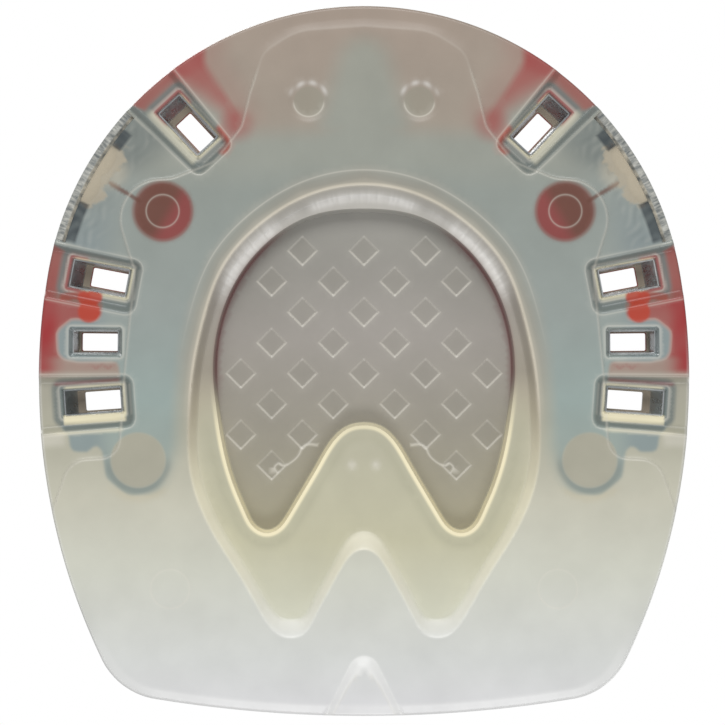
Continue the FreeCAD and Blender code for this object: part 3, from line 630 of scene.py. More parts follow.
def pocket_tint(base, points, found, steel, red):
    """Darker steel, painted highlights and shade on edges and lit walls, and red traces in and about the
    nail-head channels.
    """
    x, y = np.abs(points[:, 0]), points[:, 1]
    slots = [slot_place(points, nail) for nail in NAILS]
    pocket = ease((found["channel"] + 0.1) / 0.9)
    beside = np.maximum(steel, ease((found["frame"] + 2.2) / 1.0))
    edge = ease((4.0 - found["outline"]) / 3.0)
    outer_end = np.max([ease((-nail.length / 2 - 0.6 - along) / 1.2) * (np.abs(across) < 6)
                        for nail, (along, across) in zip(NAILS[:2], slots[:2])], axis=0)
    outer_end *= np.min([np.hypot(along, across) for along, across in slots[:2]], axis=0) < 14
    base = laid_over(
        base,
        (DULL_RED_TINT, red * (1 - steel) * pocket * (1 - 0.6 * edge)),
        (BARE_STEEL_TINT, 0.85 * pocket * beside),
        (RED_TINT, 0.8 * outer_end * bump(found["frame"] - 0.1, 0.55)),
        # painted glint along the top edge of each window's frame
        (PALE_TINT, 0.45 * bump(found["frame"] + 0.35, 0.22)))
    # painted highlight: the lit cream band under the last slot, and the lit step at the heel side of its
    # channel
    along, across = slots[3]
    base = laid_over(
        base,
        (CREAM_TINT, 0.85 * between(across, 2.35, 4.7, 0.25, 0.6) * between(along, -8.3, 4.8, 0.5, 0.8)),
        (CREAM_TINT, 0.5 * bump(across - 6.1, 0.4) * between(along, -13, 4.4, 6, 1.5)),
        (PALE_TINT, 0.4 * between(across, 5.6, 9.5, 0.8, 2) * ease((-7 - along) / 2)))
    # painted highlight on the lit heel-side wall of each of the first two slots
    for along, across in slots[:2]:
        base = laid_over(base, (CREAM_TINT, 0.6 * bump(across - 3.1, 0.5) * between(along, -6, 4.6, 3, 0.8)))
    # painted highlights and painted shade: light and dark lines round each slot that lies in a channel
    for along, across in (slots[0], slots[1], slots[3]):
        end = ease((3.4 - np.abs(across)) / 0.5)
        beyond = between(along, -8, 4.3, 1, 0.5)
        base = laid_over(
            base,
            (CREAM_TINT, 0.6 * end * bump(along - 4.4, 0.26)),
            (DARK_TINT, 0.3 * end * bump(along - 5.05, 0.25)),
            (PALE_TINT, 0.3 * end * bump(along - 5.7, 0.2)),
            (CREAM_TINT, 0.6 * beyond * bump(across + 3.0, 0.28)),
            (DARK_TINT, 0.25 * beyond * bump(across + 3.8, 0.3)))
    # the broad dull band and dark flecks beside the first slot
    along, across = slots[0]
    flecks = ease((patchy(points, 0.8, 1.3) - 0.6) / 0.2)
    base = laid_over(
        base,
        (DULL_CREAM_TINT, 0.7 * between(across, 3.2, 5.2, 0.3, 0.8) * between(along, -10, 5, 2, 1)),
        (DARK_TINT, 0.5 * flecks * bump(across - 3.1, 0.35) * between(along, -3, 5, 2, 1)))
    # red traces: over the last slot, in the first channel's corner, and a bar and spots by the second slot
    along, across = slots[3]
    corner = inside(3.6 - circle_gap(points, -26.8, -44.6), 1.2) * bump(found["channel"] - 0.5, 0.7)
    bar = inside(0.75 - np.abs(y + 13.1 - 0.1 * (x - 58)), 0.5) * inside(2.6 - np.abs(x - 58.4), 0.6)
    base = laid_over(
        base,
        (RED_TINT, 0.45 * bump(across + 3.9, 0.4) * between(along, -10, 4.2, 1, 1)),
        (BRIGHT_RED_TINT, 0.7 * corner),
        # painted glint along the channels' edges
        (PALE_TINT, 0.35 * bump(found["channel"] + 0.1, 0.2)),
        (DEEP_RED_TINT, 0.45 * bar),
        (BRIGHT_RED_TINT, 0.45 * bar))
    for spot_x, spot_y, radius in RED_SPOTS:
        spot = inside(radius - circle_gap(points, spot_x, spot_y), 0.6)
        base = laid_over(base, (BRIGHT_RED_TINT, 0.9 * spot))
    smear = bump(y - 1.1 - 0.3 * np.sin(2.6 * x), 0.3) * between(x, 49.6, 56.4, 1.5, 3)
    return laid_over(base, (SOFT_RED_TINT, 0.35 * smear))


def clip_tint(base, points, found):
    """The thin plastic over the side clip's foot: cooler steel, weld, and painted shade in the gaps."""
    y, reach = points[:, 1], found["clip_reach"]
    zone = in_clip_zone(found) * ease((reach - 50) / 8)
    streak = patchy(points @ np.array([[0.5, 1.6], [-0.87, 0.9]]), 1.5, 0.4)
    halo = ease((4.6 - circle_gap(points, -50.6, -38.0)) / 3.0)
    return laid_over(
        base,
        (CLIP_SKIN_TINT, 0.9 * zone * ease((-36 - y) / 5)),
        (COLD_STEEL_TINT, zone * (0.15 + 0.35 * ease((y + 36) / 14))),
        (PALE_TINT, 0.08 * zone * ease((streak - 0.5) / 0.5) * ease((reach - 53) / 5)),
        (DARK_TINT, 0.12 * zone * ease((0.5 - streak) / 0.5) * ease((reach - 55) / 4)),
        (DEEP_RED_TINT, 0.75 * ease((0.55 - path_gap(points, SLIT)) / 0.4)),
        (WELD_TINT, np.maximum(0.35 * halo * zone, 0.85 * weld_cover(points))),
        # painted shade in the deep gaps
        (DARK_TINT, gap_cover(found) * (0.7 + 0.25 * patchy(points, 1.1, 2.0))))


def reflection_band(points, found):
    """Painted reflection along the wall of the recess, in streaks that come and go with the angle round it.
    """
    turn = np.degrees(np.arctan2(np.abs(points[:, 0]), 4 - points[:, 1]))
    lean = turn * np.sign(points[:, 0])
    streaks = 0.5 + 0.25 * np.sin(3.3 * lean + 2 * np.sin(1.3 * lean))
    streaks += 0.25 * np.sin(5.7 * lean + 2 * np.sin(2.1 * lean))
    at_toe = ease((20 - turn) / 6)
    lobes = 0.95 * at_toe + 0.35 * bump(turn - 24, 4) + 0.9 * between(turn, 26, 64, 6, 14)
    width = 1.0 + 0.5 * ease((turn - 24) / 8)
    return bump(found["rim"] - 2.3 - 0.3 * at_toe, width) * lobes * (0.55 + 0.35 * streaks)


def recess_tint(base, points, found):
    """The frog-shaped recess: wall, plateau, membrane and the lines between them, with painted highlights and
    reflection on its edges and walls.
    """
    x, y = np.abs(points[:, 0]), points[:, 1]
    rim, membrane, diamond = found["rim"], found["membrane"], found["diamond"]
    begins = 0.55 * ease((y - 4) / 10)
    glow = bump(np.hypot((points[:, 0] - 2) / 17, (y + 9) / 14), 1.0)
    thread = bump(membrane - 0.35, 0.5) * ease((x - 13) / 9) * ease((10 - y) / 9)
    line = inside(membrane + 0.85, 0.5) * inside(0.5 - membrane, 0.2)
    lower, upper = inside(found["below"], 0.5), inside(-found["below"], 0.5)
    return laid_over(
        base,
        # painted highlight along the crease outside the rim
        (PALE_TINT, 0.4 * bump(rim + 2.75, 0.2) * ease((2 - y) / 30)),
        # the wall's colour, partly painted light
        (by_y(points, WALL_TINTS), inside(rim, 0.6)),
        (by_y(points, FROG_TINTS), ease(found["foot"] / 1.4 + 0.6) * ease((y - 2) / 12)),
        (PLATEAU_EDGE_TINT, 0.5 * bump(membrane + 2.3, 1.0) * ease((y - 8) / 12)),
        # painted highlight along the rim's edge
        (RIM_LINE_TINT, 0.9 * bump(rim - 0.1, 0.38) * ease((18 - y) / 14)),
        # painted reflection in a band along the upper wall of the recess
        (REFLECTION_TINT, reflection_band(points, found)),
        (by_y(points, MEMBRANE_TINTS), inside(membrane - begins, 0.3)),
        (GLOW_TINT, 0.25 * glow * ease(membrane / 2)),
        (THREAD_TINT, 0.8 * thread),
        # painted highlight: the cream line along the membrane's edge, where its wall faces the lamps
        (CREAM_TINT, line * ease((y - 3) / 16)),
        # painted highlight along each diamond's edge, stronger on its heel side
        (PALE_TINT, bump(diamond, 0.18) * (0.62 * lower + 0.28 * upper)),
        (DIAMOND_TINT, 0.3 * ease(diamond / 0.4)),
        (PALE_TINT, 0.6 * inside(0.22 - path_gap(points, FLASH_HAIR), 0.25)),
        (PALE_TINT, 0.7 * bump(circle_gap(points, *FROG_DOT), 0.8)))


def red_cover(points, found):
    """How much of the red cushion shows through, away from the steel."""
    x, y = np.abs(points[:, 0]), points[:, 1]
    red = inside(found["cushion"], 2.6)
    red *= 1 - 0.65 * ease((y + 1.5) / 1.5) * ease((65 - x) / 6)
    return np.maximum(red, 0.22 * ease((found["cushion"] + 7) / 7) * ease((-44 - y) / 6))


def ground_tint(points, found):
    """Colour seen on the ground face, from what lies under the plastic, with painted highlights, reflection
    and shade on its relief.
    """
    x, y = np.abs(points[:, 0]), points[:, 1]
    outline, quarter, heel_quarter = found["outline"], found["quarter"], found["heel_quarter"]
    steel, red = steel_cover(points, found), red_cover(points, found)
    mottle = 0.7 + 0.14 * ease((y + 26) / 8) + 0.14 * patchy(points, 4.0) + 0.18 * ease((4.5 - outline) / 3.0)
    beside_slot = ease((x - 49) / 2) * between(y, -9.5, 2.5, 1, 1)
    base = laid_over(
        by_y(points, BODY_TINTS),
        (by_y(points, STEEL_TINTS), 0.95 * steel),
        (COLD_STEEL_TINT, 0.5 * steel * ease((x - 50) / 5) * ease((y + 12) / 3)),
        (RED_TINT, red * (1 - steel) * mottle),
        (BARE_STEEL_TINT, 0.42 * bump(heel_quarter - 6.0, 0.75) * ease((y - 18) / 4)),
        (HOLE_HALO_TINT, 0.3 * bump(heel_quarter - 7.7, 0.7) * ease((y - 24.5) / 2)),
        (HEEL_HOLE_TINT, 0.85 * inside(5.4 - heel_quarter, 0.6)),
        (PALE_TINT, 0.25 * beside_slot * bump(found["core"] + 0.1, 0.3)))
    base = pocket_tint(base, points, found, steel, red)
    glow = ease((4.6 - circle_gap(points, -25.4, -47.4)) / 3.4)
    disc = inside(5.9 - quarter, 1.6)
    base = laid_over(
        base,
        (RED_TINT, 0.45 * glow * ease(-found["channel"] / 0.4)),
        (DEEP_RED_TINT, 0.9 * disc),
        (SOFT_RED_TINT, 0.75 * disc * ease((40.6 - x + (y + 30.4) * 0.6) / 4)))
    base = clip_tint(base, points, found)
    rings = 0.35 * bump(quarter - QUARTER_RING_RADIUS, 0.16)
    rings += 0.3 * bump(found["heel_ring"] - HEEL_RING_RADIUS, 0.18)
    faint = 1 - 0.7 * ease((-56 - y) / 4)
    # painted highlight along the step of the border
    base = laid_over(base, (PALE_TINT, rings), (PALE_TINT, 0.35 * faint * bump(found["border"], 0.25)))
    base = recess_tint(base, points, found)
    dimple, up = found["toe_dimple"], TOE_DIMPLE[1] - y
    spots = 0.6 + 0.4 * np.sin(2.6 * x)
    ramp = notch_ramp(x)
    notch_wall = inside(found["notch"], 0.4) * inside(ramp - found["notch"], 0.4)
    return laid_over(
        base,
        (DIMPLE_TINT, 0.5 * inside(3.0 - dimple, 0.3)),
        # painted glints on the toe side of each toe dimple's ring, and a painted highlight on the heel side
        # of its edge
        (REFLECTION_TINT, 0.5 * spots * bump(dimple - 3.8, 0.5) * ease((up - 0.6) / 1.8)),
        (PALE_TINT, 0.55 * bump(dimple - 3.05, 0.2) * ease((0.4 - up) / 1.5)),
        # painted light on the heel bevel and on the rounded edge, against their shade
        (WHITE_TINT, 0.28 * ease((y - 50) / 12) * ease((2.5 - outline) / 0.5)),
        (WHITE_TINT, 0.3 * ease((y + 10) / 20) * ease((0.7 - outline) / 0.4)),
        (PALE_TINT, 0.3 * bump(found["notch"] - ramp, 0.2)),
        # painted light on the heel notch's walls, against their shade
        (WHITE_TINT, notch_wall * (0.45 + 0.2 * bump(x, 3.0))))


def hoof_tint(points, found):
    """Colour seen on the hoof face and the side wall."""
    return laid_over(
        by_y(points, BODY_TINTS),
        (by_y(points, STEEL_TINTS), 0.5 * steel_cover(points, found)),
        (RED_TINT, 0.8 * inside(found["cushion"], 2.2)),
        (by_y(points, MEMBRANE_TINTS), 0.7 * ease(found["membrane"] / 1.5 + 0.2)))


def clear_cover(points):
    """Where the plastic over the weld is thin enough to see into."""
    return 0.3 * weld_cover(points)


# ---------------------------------------------------------------- the body's mesh

def rows_along(loop, offsets, spacing):
    """Rows of points beside a closed loop; positive offsets lie inside it, and spacing 0 keeps its points."""
    loop = resample(loop, spacing) if spacing else loop
    after = np.roll(loop, -1, axis=0)
    run = after - np.roll(loop, 1, axis=0)
    turning = np.sign((loop[:, 0] * after[:, 1] - loop[:, 1] * after[:, 0]).sum())
    inward = turning * np.stack([-run[:, 1], run[:, 0]], axis=1) / np.linalg.norm(run, axis=1)[:, None]
    return np.vstack([loop + inward * offset for offset in offsets])


def mirrored_too(points):
    return np.vstack([points, points * [-1, 1]])


# rows of points beside each loop of the ground face: how far inside it each row lies, then the spacing
ROWS = [
    ("outline", [0.14, 0.3, 0.47, 0.66, 1.1, 1.7, 2.3, 2.7], 0),
    ("border", [-0.4, -0.2, 0, 0.2, 0.4], 0.4),
    ("rim", [-3.0, -2.75, -2.5, -0.35, -0.1, 0.15, 0.4, 0.75, 1.1, 1.5], 0.45),
    ("foot", [-1.5, -1.0, -0.6, -0.25, 0, 0.25], 0.5),
    ("membrane", [-1.5, -1.15, -0.9, -0.65, -0.4, -0.15, 0.05, 0.2, 0.38, 0.56, 0.8], 0.42),
    ("core", [-0.5, -0.2, 0.2, 0.5], 0.5),
    ("notch", [-0.4, -0.1, 0.2, 0.6, 1.0, 1.4, 1.7, 2.2], 0.4),
]
# rings of points round each circle
RINGS = [
    (TOE_DIMPLE, (2.8, 3.05, 3.3, 3.6, 3.9, 4.2, 4.5)), (QUARTER_HOLE, (2.8, 3.05, 3.3, 3.55, 3.8)),
    (HEEL_RING, (3.4, 3.65, 3.9, 4.15, 4.4)), (QUARTER_HOLE, (5.4, 6.0, 6.4)),
    (HEEL_QUARTER_HOLE, (5.1, 5.4, 5.8, 6.3)),
]


def feature_rows():
    """Points packed where the ground face bends."""
    rows = [rows_along(LOOPS[name], offsets, spacing) for name, offsets, spacing in ROWS]
    for nail in NAILS:
        for side in (1, -1):
            for grow in (0.45, 0.7, 0.95, 1.15, 1.4):
                inner = nail.length / 2 + grow
                rows.append(slot_loop(nail, side, nail.length / 2 + nail.outward + grow, inner,
                                      nail.window / 2 + grow, 0.3 + grow / 2))
    for loop in CHANNEL_LOOPS:
        rows.append(mirrored_too(rows_along(loop, [-0.35, -0.1, 0.15, 0.45, 0.8, 1.2, 1.6, 1.9], 0.4)))
    for path in (FLASH_HAIR, np.array(SLIT)):
        there_and_back = resample(np.vstack([path, path[-2:0:-1]]), 0.25)
        for shift in (-0.5, -0.25, 0, 0.25, 0.5):
            rows.append(mirrored_too(there_and_back + [shift * 0.7, shift]))
    for x, y in DIAMONDS:
        for half in (2.45, 2.75, 3.0, 3.3):
            corners = [(x + half, y), (x, y + half), (x - half, y), (x, y - half)]
            rows.append(resample(np.array(corners), 0.34))
    for centre, radii in RINGS:
        for radius in radii:
            ring = on_circle(centre, radius, np.arange(0, 360, 360 / int(radius * 6.3 / FINE)))
            rows.append(mirrored_too(ring))
    return np.vstack(rows)


def hoof_rows():
    """Points packed where the hoof face bends."""
    rows = [rows_along(LOOPS["outline"], [0.12, 0.3, 0.55, 0.85, 1.3], 0.6),
            rows_along(LOOPS["rim"], [-0.6, 0.2, 0.9, 1.6, 2.4], 0.9)]
    for x, y in NUBS:
        for radius in (0.5, 0.8, 0.95, 1.05, 1.1, 1.25):
            rows.append(on_circle((x, y), radius, np.arange(0, 360, 24)))
        rows.append(np.array([[x, y]]))
    return np.vstack(rows)


def hex_grid(spacing):
    """Evenly spread points over the whole box."""
    rows = []
    height = spacing * math.sqrt(3) / 2
    for row in range(int(2 * HALF_LENGTH / height) + 1):
        shift = (row % 2) * spacing / 2
        x = np.arange(-HALF_WIDTH + shift, HALF_WIDTH, spacing)
        rows.append(np.stack([x, np.full(len(x), -HALF_LENGTH + row * height)], axis=1))
    return np.vstack(rows)


def spread_out(points, cell):
    """Drop points that share a cell with an earlier one."""
    keys = np.floor(points / cell).astype(np.int64)
    _, first = np.unique(keys[:, 0] * 100003 + keys[:, 1], return_index=True)
    return points[np.sort(first)]


def away_from(points, taken, cell):
    """Points with nothing already taken in their cell or the ones around it."""
    low = np.minimum(points.min(0), taken.min(0)) - 2 * cell
    size = np.ceil((np.maximum(points.max(0), taken.max(0)) - low) / cell).astype(int) + 2
    used = np.zeros(size, bool)
    where = ((taken - low) / cell).astype(int)
    for step_x in (-1, 0, 1):
        for step_y in (-1, 0, 1):
            used[where[:, 0] + step_x, where[:, 1] + step_y] = True
    at = ((points - low) / cell).astype(int)
    return points[~used[at[:, 0], at[:, 1]]]


def fine_zones():
    """A closer grid round the nail slots, the quarter holes and the clips' feet."""
    grid = hex_grid(ZONE_SPACING)
    grid = grid[grid[:, 0] < 0]
    near = np.hypot(grid[:, 0] - QUARTER_HOLE[0], grid[:, 1] - QUARTER_HOLE[1]) < 7.5
    for nail in NAILS:
        near |= np.hypot(grid[:, 0] - nail.x + 2, grid[:, 1] - nail.y) < 9.5
    reach = np.hypot(grid[:, 0], grid[:, 1] - TOE_CENTRE[1])
    angle = np.degrees(np.arctan2(-grid[:, 0], TOE_CENTRE[1] - grid[:, 1]))
    near |= (angle > CLIP_START) & (angle < CLIP_END) & (reach > 53)
    return mirrored_too(grid[near])


def in_sheet(points, loops, edge_gap, hole_gap):
    """Whether each point lies inside the first loop and outside the others, by a gap from each."""
    clear = [loop_depth(points, loops[0]) > edge_gap]
    clear += [loop_depth(points, loop) < -hole_gap for loop in loops[1:]]
    return np.all(clear, axis=0)


GROUND_SPACING, HOOF_SPACING, ZONE_SPACING = 0.85, 1.5, 0.42
# cells in which one point of a row, of a finer zone or of the wide grid keeps others out
ROW_CELL, ZONE_CELL, GRID_CELL = 0.13, 0.2, 0.33


def sheet_mesh(loops, rows, zones, spacing):
    """Triangles over the space inside the first loop and outside the others."""
    edge_points = np.vstack(loops)
    rows = spread_out(rows[in_sheet(rows, loops, 0.1, 0.12)], ROW_CELL)
    if len(zones):
        zones = zones[in_sheet(zones, loops, 0.2, 0.2)]
        rows = np.vstack([rows, away_from(zones, np.vstack([edge_points, rows]), ZONE_CELL)])
    grid = hex_grid(spacing)
    grid = grid[in_sheet(grid, loops, 0.4, 0.4)]
    grid = away_from(grid, np.vstack([edge_points, rows]), GRID_CELL)
    points = np.vstack([edge_points, rows, grid])
    edges, start = [], 0
    for loop in loops:
        count = len(loop)
        edges += [(start + index, start + (index + 1) % count) for index in range(count)]
        start += count
    made = delaunay_2d_cdt([Vector(p) for p in points.tolist()], edges, [], 0, 1e-7)
    vertices = np.array([tuple(v) for v in made[0]])
    faces = np.array(made[2])
    keep = in_sheet(vertices[faces].mean(1), loops, 0, 0)
    order = np.full(len(points), -1)
    for new, old in enumerate(made[3]):
        for index in old:
            order[index] = new
    return vertices, faces[keep], order[:start]


def slot_rings(nail, side):
    """The loops that a slot's wall passes through, ground to hoof: (loop, height)."""
    length, width, outward, window = nail.length / 2, nail.width / 2, nail.outward, nail.window / 2
    cushioned = nail is not NAILS[3]
    grow = 0.12 if cushioned else 0.0
    mouth = slot_loop(nail, side, length + outward + 0.25, length + 0.25, window + 0.25, 0.4)
    throat = slot_loop(nail, side, length + outward * 0.35 + 0.4, length + 0.4, width + 0.7, 0.4)
    hole = slot_loop(nail, side, length + grow, length + grow, width + grow, 0.3)
    return [(mouth, None), (mouth, STEEL_LOW + 0.5), (throat, STEEL_HIGH - 0.4), (throat, STEEL_HIGH - 0.12),
            (hole, STEEL_HIGH - 0.12), (hole, STEEL_HIGH + 1.5), (hole, THICKNESS - 0.8), (hole, None)]


def wall_levels(points, low, high, found):
    """Levels of the side wall, let in a little where the cushion comes to the surface."""
    let_in = 0.18 * (found["cushion"] > 0) * (1 - in_clip_zone(found))
    seam = 0.12
    levels = [(low, 0), (CUSHION_LOW - seam, 0), (CUSHION_LOW, 1), ((CUSHION_LOW + CUSHION_HIGH) / 2, 1),
              (CUSHION_HIGH, 1), (CUSHION_HIGH + seam, 0), (high, 0)]
    return [(np.broadcast_to(level, len(points)), let_in * share) for level, share in levels]


def turn_over(points, triangles, facing):
    """Reverse the triangles that face the wrong way; facing is 1 for up and -1 for down."""
    first, second = (points[triangles[:, column]] - points[triangles[:, 0]] for column in (1, 2))
    wrong = np.cross(first, second) * facing < 0
    triangles[wrong] = triangles[wrong][:, ::-1]


def build_body():
    """The moulded body as one closed mesh: ground face, hoof face, side wall and slot walls."""
    slots = [slot_rings(nail, side) for nail in NAILS for side in (1, -1)]
    outline = LOOPS["outline"]
    ground_loops = [outline] + [rings[0][0] for rings in slots]
    hoof_loops = [outline] + [rings[-1][0] for rings in slots]
    ground_xy, ground_faces, ground_edge = sheet_mesh(ground_loops, feature_rows(), fine_zones(),
                                                      GROUND_SPACING)
    hoof_xy, hoof_faces, hoof_edge = sheet_mesh(hoof_loops, hoof_rows(), [], HOOF_SPACING)
    ground_found, hoof_found = survey(ground_xy), survey(hoof_xy)
    ground_z = ground_height(ground_xy, ground_found)
    hoof_z = hoof_height(hoof_found)
    for index in range(len(outline), len(ground_edge)):
        ground_z[ground_edge[index]] = STEEL_LOW
    turn_over(ground_xy, ground_faces, -1)
    turn_over(hoof_xy, hoof_faces, 1)
    offset = len(ground_xy)
    vertices = [np.column_stack([ground_xy, ground_z]), np.column_stack([hoof_xy, hoof_z])]
    tints = [ground_tint(ground_xy, ground_found), hoof_tint(hoof_xy, hoof_found)]
    clears = [clear_cover(ground_xy), np.zeros(len(hoof_xy))]
    faces = [tuple(face) for face in ground_faces.tolist()]
    faces += [tuple(face) for face in (hoof_faces + offset).tolist()]
    total = offset + len(hoof_xy)

    def add_wall(low_ids, high_ids, rings):
        """Quads from the ground face's edge to the hoof face's, through rings of new vertices."""
        nonlocal total
        previous = low_ids
        for ring_xyz, ring_tint in rings:
            ids = np.arange(total, total + len(ring_xyz))
            vertices.append(ring_xyz)
            tints.append(ring_tint)
            clears.append(np.zeros(len(ring_xyz)))
            faces.extend(quads(previous, ids))
            previous = ids
            total += len(ring_xyz)
        faces.extend(quads(previous, high_ids))

    count = len(outline)
    found = survey(outline)
    low = ground_z[ground_edge[:count]]
    high = hoof_z[hoof_edge[:count]]
    run = np.roll(outline, -1, axis=0) - np.roll(outline, 1, axis=0)
    inward = np.stack([-run[:, 1], run[:, 0]], axis=1) / np.linalg.norm(run, axis=1)[:, None]
    tint = hoof_tint(outline, found)
    rings = [(np.column_stack([outline + inward * let_in[:, None], level]), tint)
             for level, let_in in wall_levels(outline, low, high, found)[1:-1]]
    add_wall(ground_edge[:count], hoof_edge[:count] + offset, rings)
    start = count
    for slot in slots:
        size = len(slot[0][0])
        rings = []
        for loop, level in slot[1:-1]:
            tint = np.tile(SLOT_WALL_TINT, (size, 1))
            rings.append((np.column_stack([loop, np.full(size, level)]), tint))
        add_wall(ground_edge[start:start + size], hoof_edge[start:start + size] + offset, rings)
        start += size
    return np.vstack(vertices), faces, np.vstack(tints), np.concatenate(clears)


def quads(low, high):
    """Faces between two rings of the same length."""
    return [(low[i], low[(i + 1) % len(low)], high[(i + 1) % len(low)], high[i]) for i in range(len(low))]


def make_object(name, vertices, faces, material):
    """A mesh object from millimetres."""
    mesh = bpy.data.meshes.new(name)
    mesh.from_pydata((vertices * MM).tolist(), [], [tuple(int(i) for i in face) for face in faces])
    mesh.update()
    mesh.shade_smooth()
    mesh.materials.append(material)
    thing = bpy.data.objects.new(name, mesh)
    bpy.context.scene.collection.objects.link(thing)
    return thing


# ---------------------------------------------------------------- materials

def new_material(name):
    material = bpy.data.materials.new(name)
    material.use_nodes = True
    return material, material.node_tree


def fill(tree, node, inputs):
    """Set a node's inputs: a socket is linked from, and anything else is a value to hold."""
    for key, value in inputs.items():
        if isinstance(value, bpy.types.NodeSocket):
            tree.links.new(value, node.inputs[key])
        else:
            node.inputs[key].default_value = value


def add_node(tree, kind, inputs, operation=None):
    node = tree.nodes.new("ShaderNode" + kind)
    if operation:
        node.operation = operation
    fill(tree, node, inputs)
    return node


def noise(tree, scale, detail, stretch=(1, 1, 1)):
    """Noise over the object's own coordinates, from 0 to 1."""
    place = add_node(tree, "TexCoord", {}).outputs["Object"]
    mapped = add_node(tree, "Mapping", {"Vector": place, "Scale": stretch}).outputs["Vector"]
    return add_node(tree, "TexNoise", {"Vector": mapped, "Scale": scale, "Detail": detail}).outputs["Fac"]


def spread(tree, source, low, high, start=0.0, end=1.0):
    """Carry a value between start and end over to the range from low to high."""
    ranges = {"From Min": start, "From Max": end, "To Min": low, "To Max": high}
    return add_node(tree, "MapRange", {"Value": source, **ranges}).outputs["Result"]


def relief(tree, height, strength, distance):
    """A surface direction that follows a height."""
    inputs = {"Height": height, "Strength": strength, "Distance": distance}
    return add_node(tree, "Bump", inputs).outputs["Normal"]


def two_tone(tree, source, dark, light, narrow=0.5):
    """A value carried over to a colour between two tones."""
    ramp = add_node(tree, "ValToRGB", {"Fac": source})
    for element, place, tone in zip(ramp.color_ramp.elements, (0.5 - narrow, 0.5 + narrow), (dark, light)):
        element.position = place
        element.color = (*tone, 1)
    return ramp.outputs["Color"]


def arithmetic(tree, operation, first, second=0.0):
    """The result of a calculation on two inputs, each a socket or a number."""
    return add_node(tree, "Math", {0: first, 1: second}, operation).outputs["Value"]


def mixed(tree, share, under, over):
    """One colour laid over another by a share."""
    mix = tree.nodes.new("ShaderNodeMix")
    mix.data_type = "RGBA"
    # a mix node has one set of A, B and Result sockets for each kind of data; these are the colour ones
    colour_a, colour_b, colour_result = 6, 7, 2
    fill(tree, mix, {"Factor": share, colour_a: under, colour_b: over})
    return mix.outputs[colour_result]


def painted(tree, name):
    """The outputs of a value stored on the mesh."""
    attribute = tree.nodes.new("ShaderNodeAttribute")
    attribute.attribute_name = name
    return attribute.outputs


def plastic_material():
    """Hazy translucent plastic: what lies inside shows as tints, and thin places are clear."""
    material, tree = new_material("hazy_plastic")
    haze = spread(tree, noise(tree, 110.0, 8.0), 0.9, 1.1)
    tint = add_node(tree, "VectorMath", {0: painted(tree, "tint")["Color"], "Scale": haze}, "SCALE")
    fine = noise(tree, 900.0, 3.0)
    fill(tree, tree.nodes["Principled BSDF"], {
        "Base Color": tint.outputs["Vector"],
        "Alpha": spread(tree, painted(tree, "clear")["Fac"], 1.0, 0.0),
        "Roughness": spread(tree, fine, 0.28, 0.42),
        "Normal": relief(tree, fine, 0.06, 0.0002),
        "IOR": 1.5})
    return material


ZINC_DARK, ZINC_LIGHT, ZINC_ROUGH = (0.4, 0.43, 0.45), (0.85, 0.88, 0.88), 0.28


def steel_material(name):
    """Bright zinc plating with fine streaks and dull patches."""
    material, tree = new_material(name)
    streaks = noise(tree, 700.0, 3.0, (1, 1, 0.15))
    fill(tree, tree.nodes["Principled BSDF"], {
        "Metallic": 1.0,
        "Base Color": two_tone(tree, noise(tree, 160.0, 5.0), ZINC_DARK, ZINC_LIGHT, 0.2),
        "Roughness": spread(tree, streaks, ZINC_ROUGH - 0.1, ZINC_ROUGH + 0.12),
        "Normal": relief(tree, streaks, 0.35, 0.0003)})
    return material


# metres: where the skin over the clip's foot ends, going up, and going out from the toe arc's centre
FOOT_TOP = (0.0019, 0.0021)
SKIN_EDGE = (0.0629, 0.0632)


def skin_over_foot(material):
    """The clip's foot seen from below: a bright sheared outer edge, and dull plastic over the rest."""
    tree = material.node_tree
    shader = tree.nodes["Principled BSDF"]
    place = add_node(tree, "TexCoord", {}).outputs["Object"]
    parts = add_node(tree, "SeparateXYZ", {"Vector": place}).outputs
    along = arithmetic(tree, "SUBTRACT", parts["Y"], TOE_CENTRE[1] * MM)
    squares = [arithmetic(tree, "MULTIPLY", value, value) for value in (parts["X"], along)]
    reach = arithmetic(tree, "SQRT", arithmetic(tree, "ADD", *squares))
    foot = spread(tree, parts["Z"], 1.0, 0.0, *FOOT_TOP)
    skin = arithmetic(tree, "MULTIPLY", spread(tree, reach, 1.0, 0.0, *SKIN_EDGE), foot)
    turn = arithmetic(tree, "ARCTAN2", parts["X"], along)
    # fine marks that run across the edge, so their noise is close along it and long across it
    spot = add_node(tree, "CombineXYZ", {"X": arithmetic(tree, "MULTIPLY", turn, 110.0),
                                         "Y": arithmetic(tree, "MULTIPLY", reach, 450.0)}).outputs["Vector"]
    shear = add_node(tree, "TexNoise", {"Vector": spot, "Scale": 1.0, "Detail": 4.0}).outputs["Fac"]
    bright = two_tone(tree, shear, (0.34, 0.37, 0.37), (1.0, 1.0, 0.92), 0.16)
    dull = two_tone(tree, noise(tree, 500.0, 4.0), colour(96, 100, 98), colour(200, 194, 176), 0.15)
    tint = mixed(tree, foot, shader.inputs["Base Color"].links[0].from_socket, bright)
    bare = arithmetic(tree, "SUBTRACT", 1.0, skin)
    fill(tree, shader, {"Base Color": mixed(tree, skin, tint, dull), "Metallic": bare})


def soft_material(name, tint, rough, grain):
    """A plain moulded surface with a little mottling."""
    material, tree = new_material(name)
    mottle = noise(tree, grain, 4.0)
    fill(tree, tree.nodes["Principled BSDF"], {
        "Base Color": two_tone(tree, mottle, tint * 0.75, (tint * 1.2).clip(0, 1)),
        "Roughness": spread(tree, mottle, rough - 0.08, rough + 0.08),
        "Normal": relief(tree, mottle, 0.3, 0.0003)})
    return material


# ---------------------------------------------------------------- pieces

def store(thing, name, kind, field, values):
    """Keep a value for each of a mesh's points."""
    layer = thing.data.attributes.new(name, kind, "POINT")
    layer.data.foreach_set(field, values.ravel())


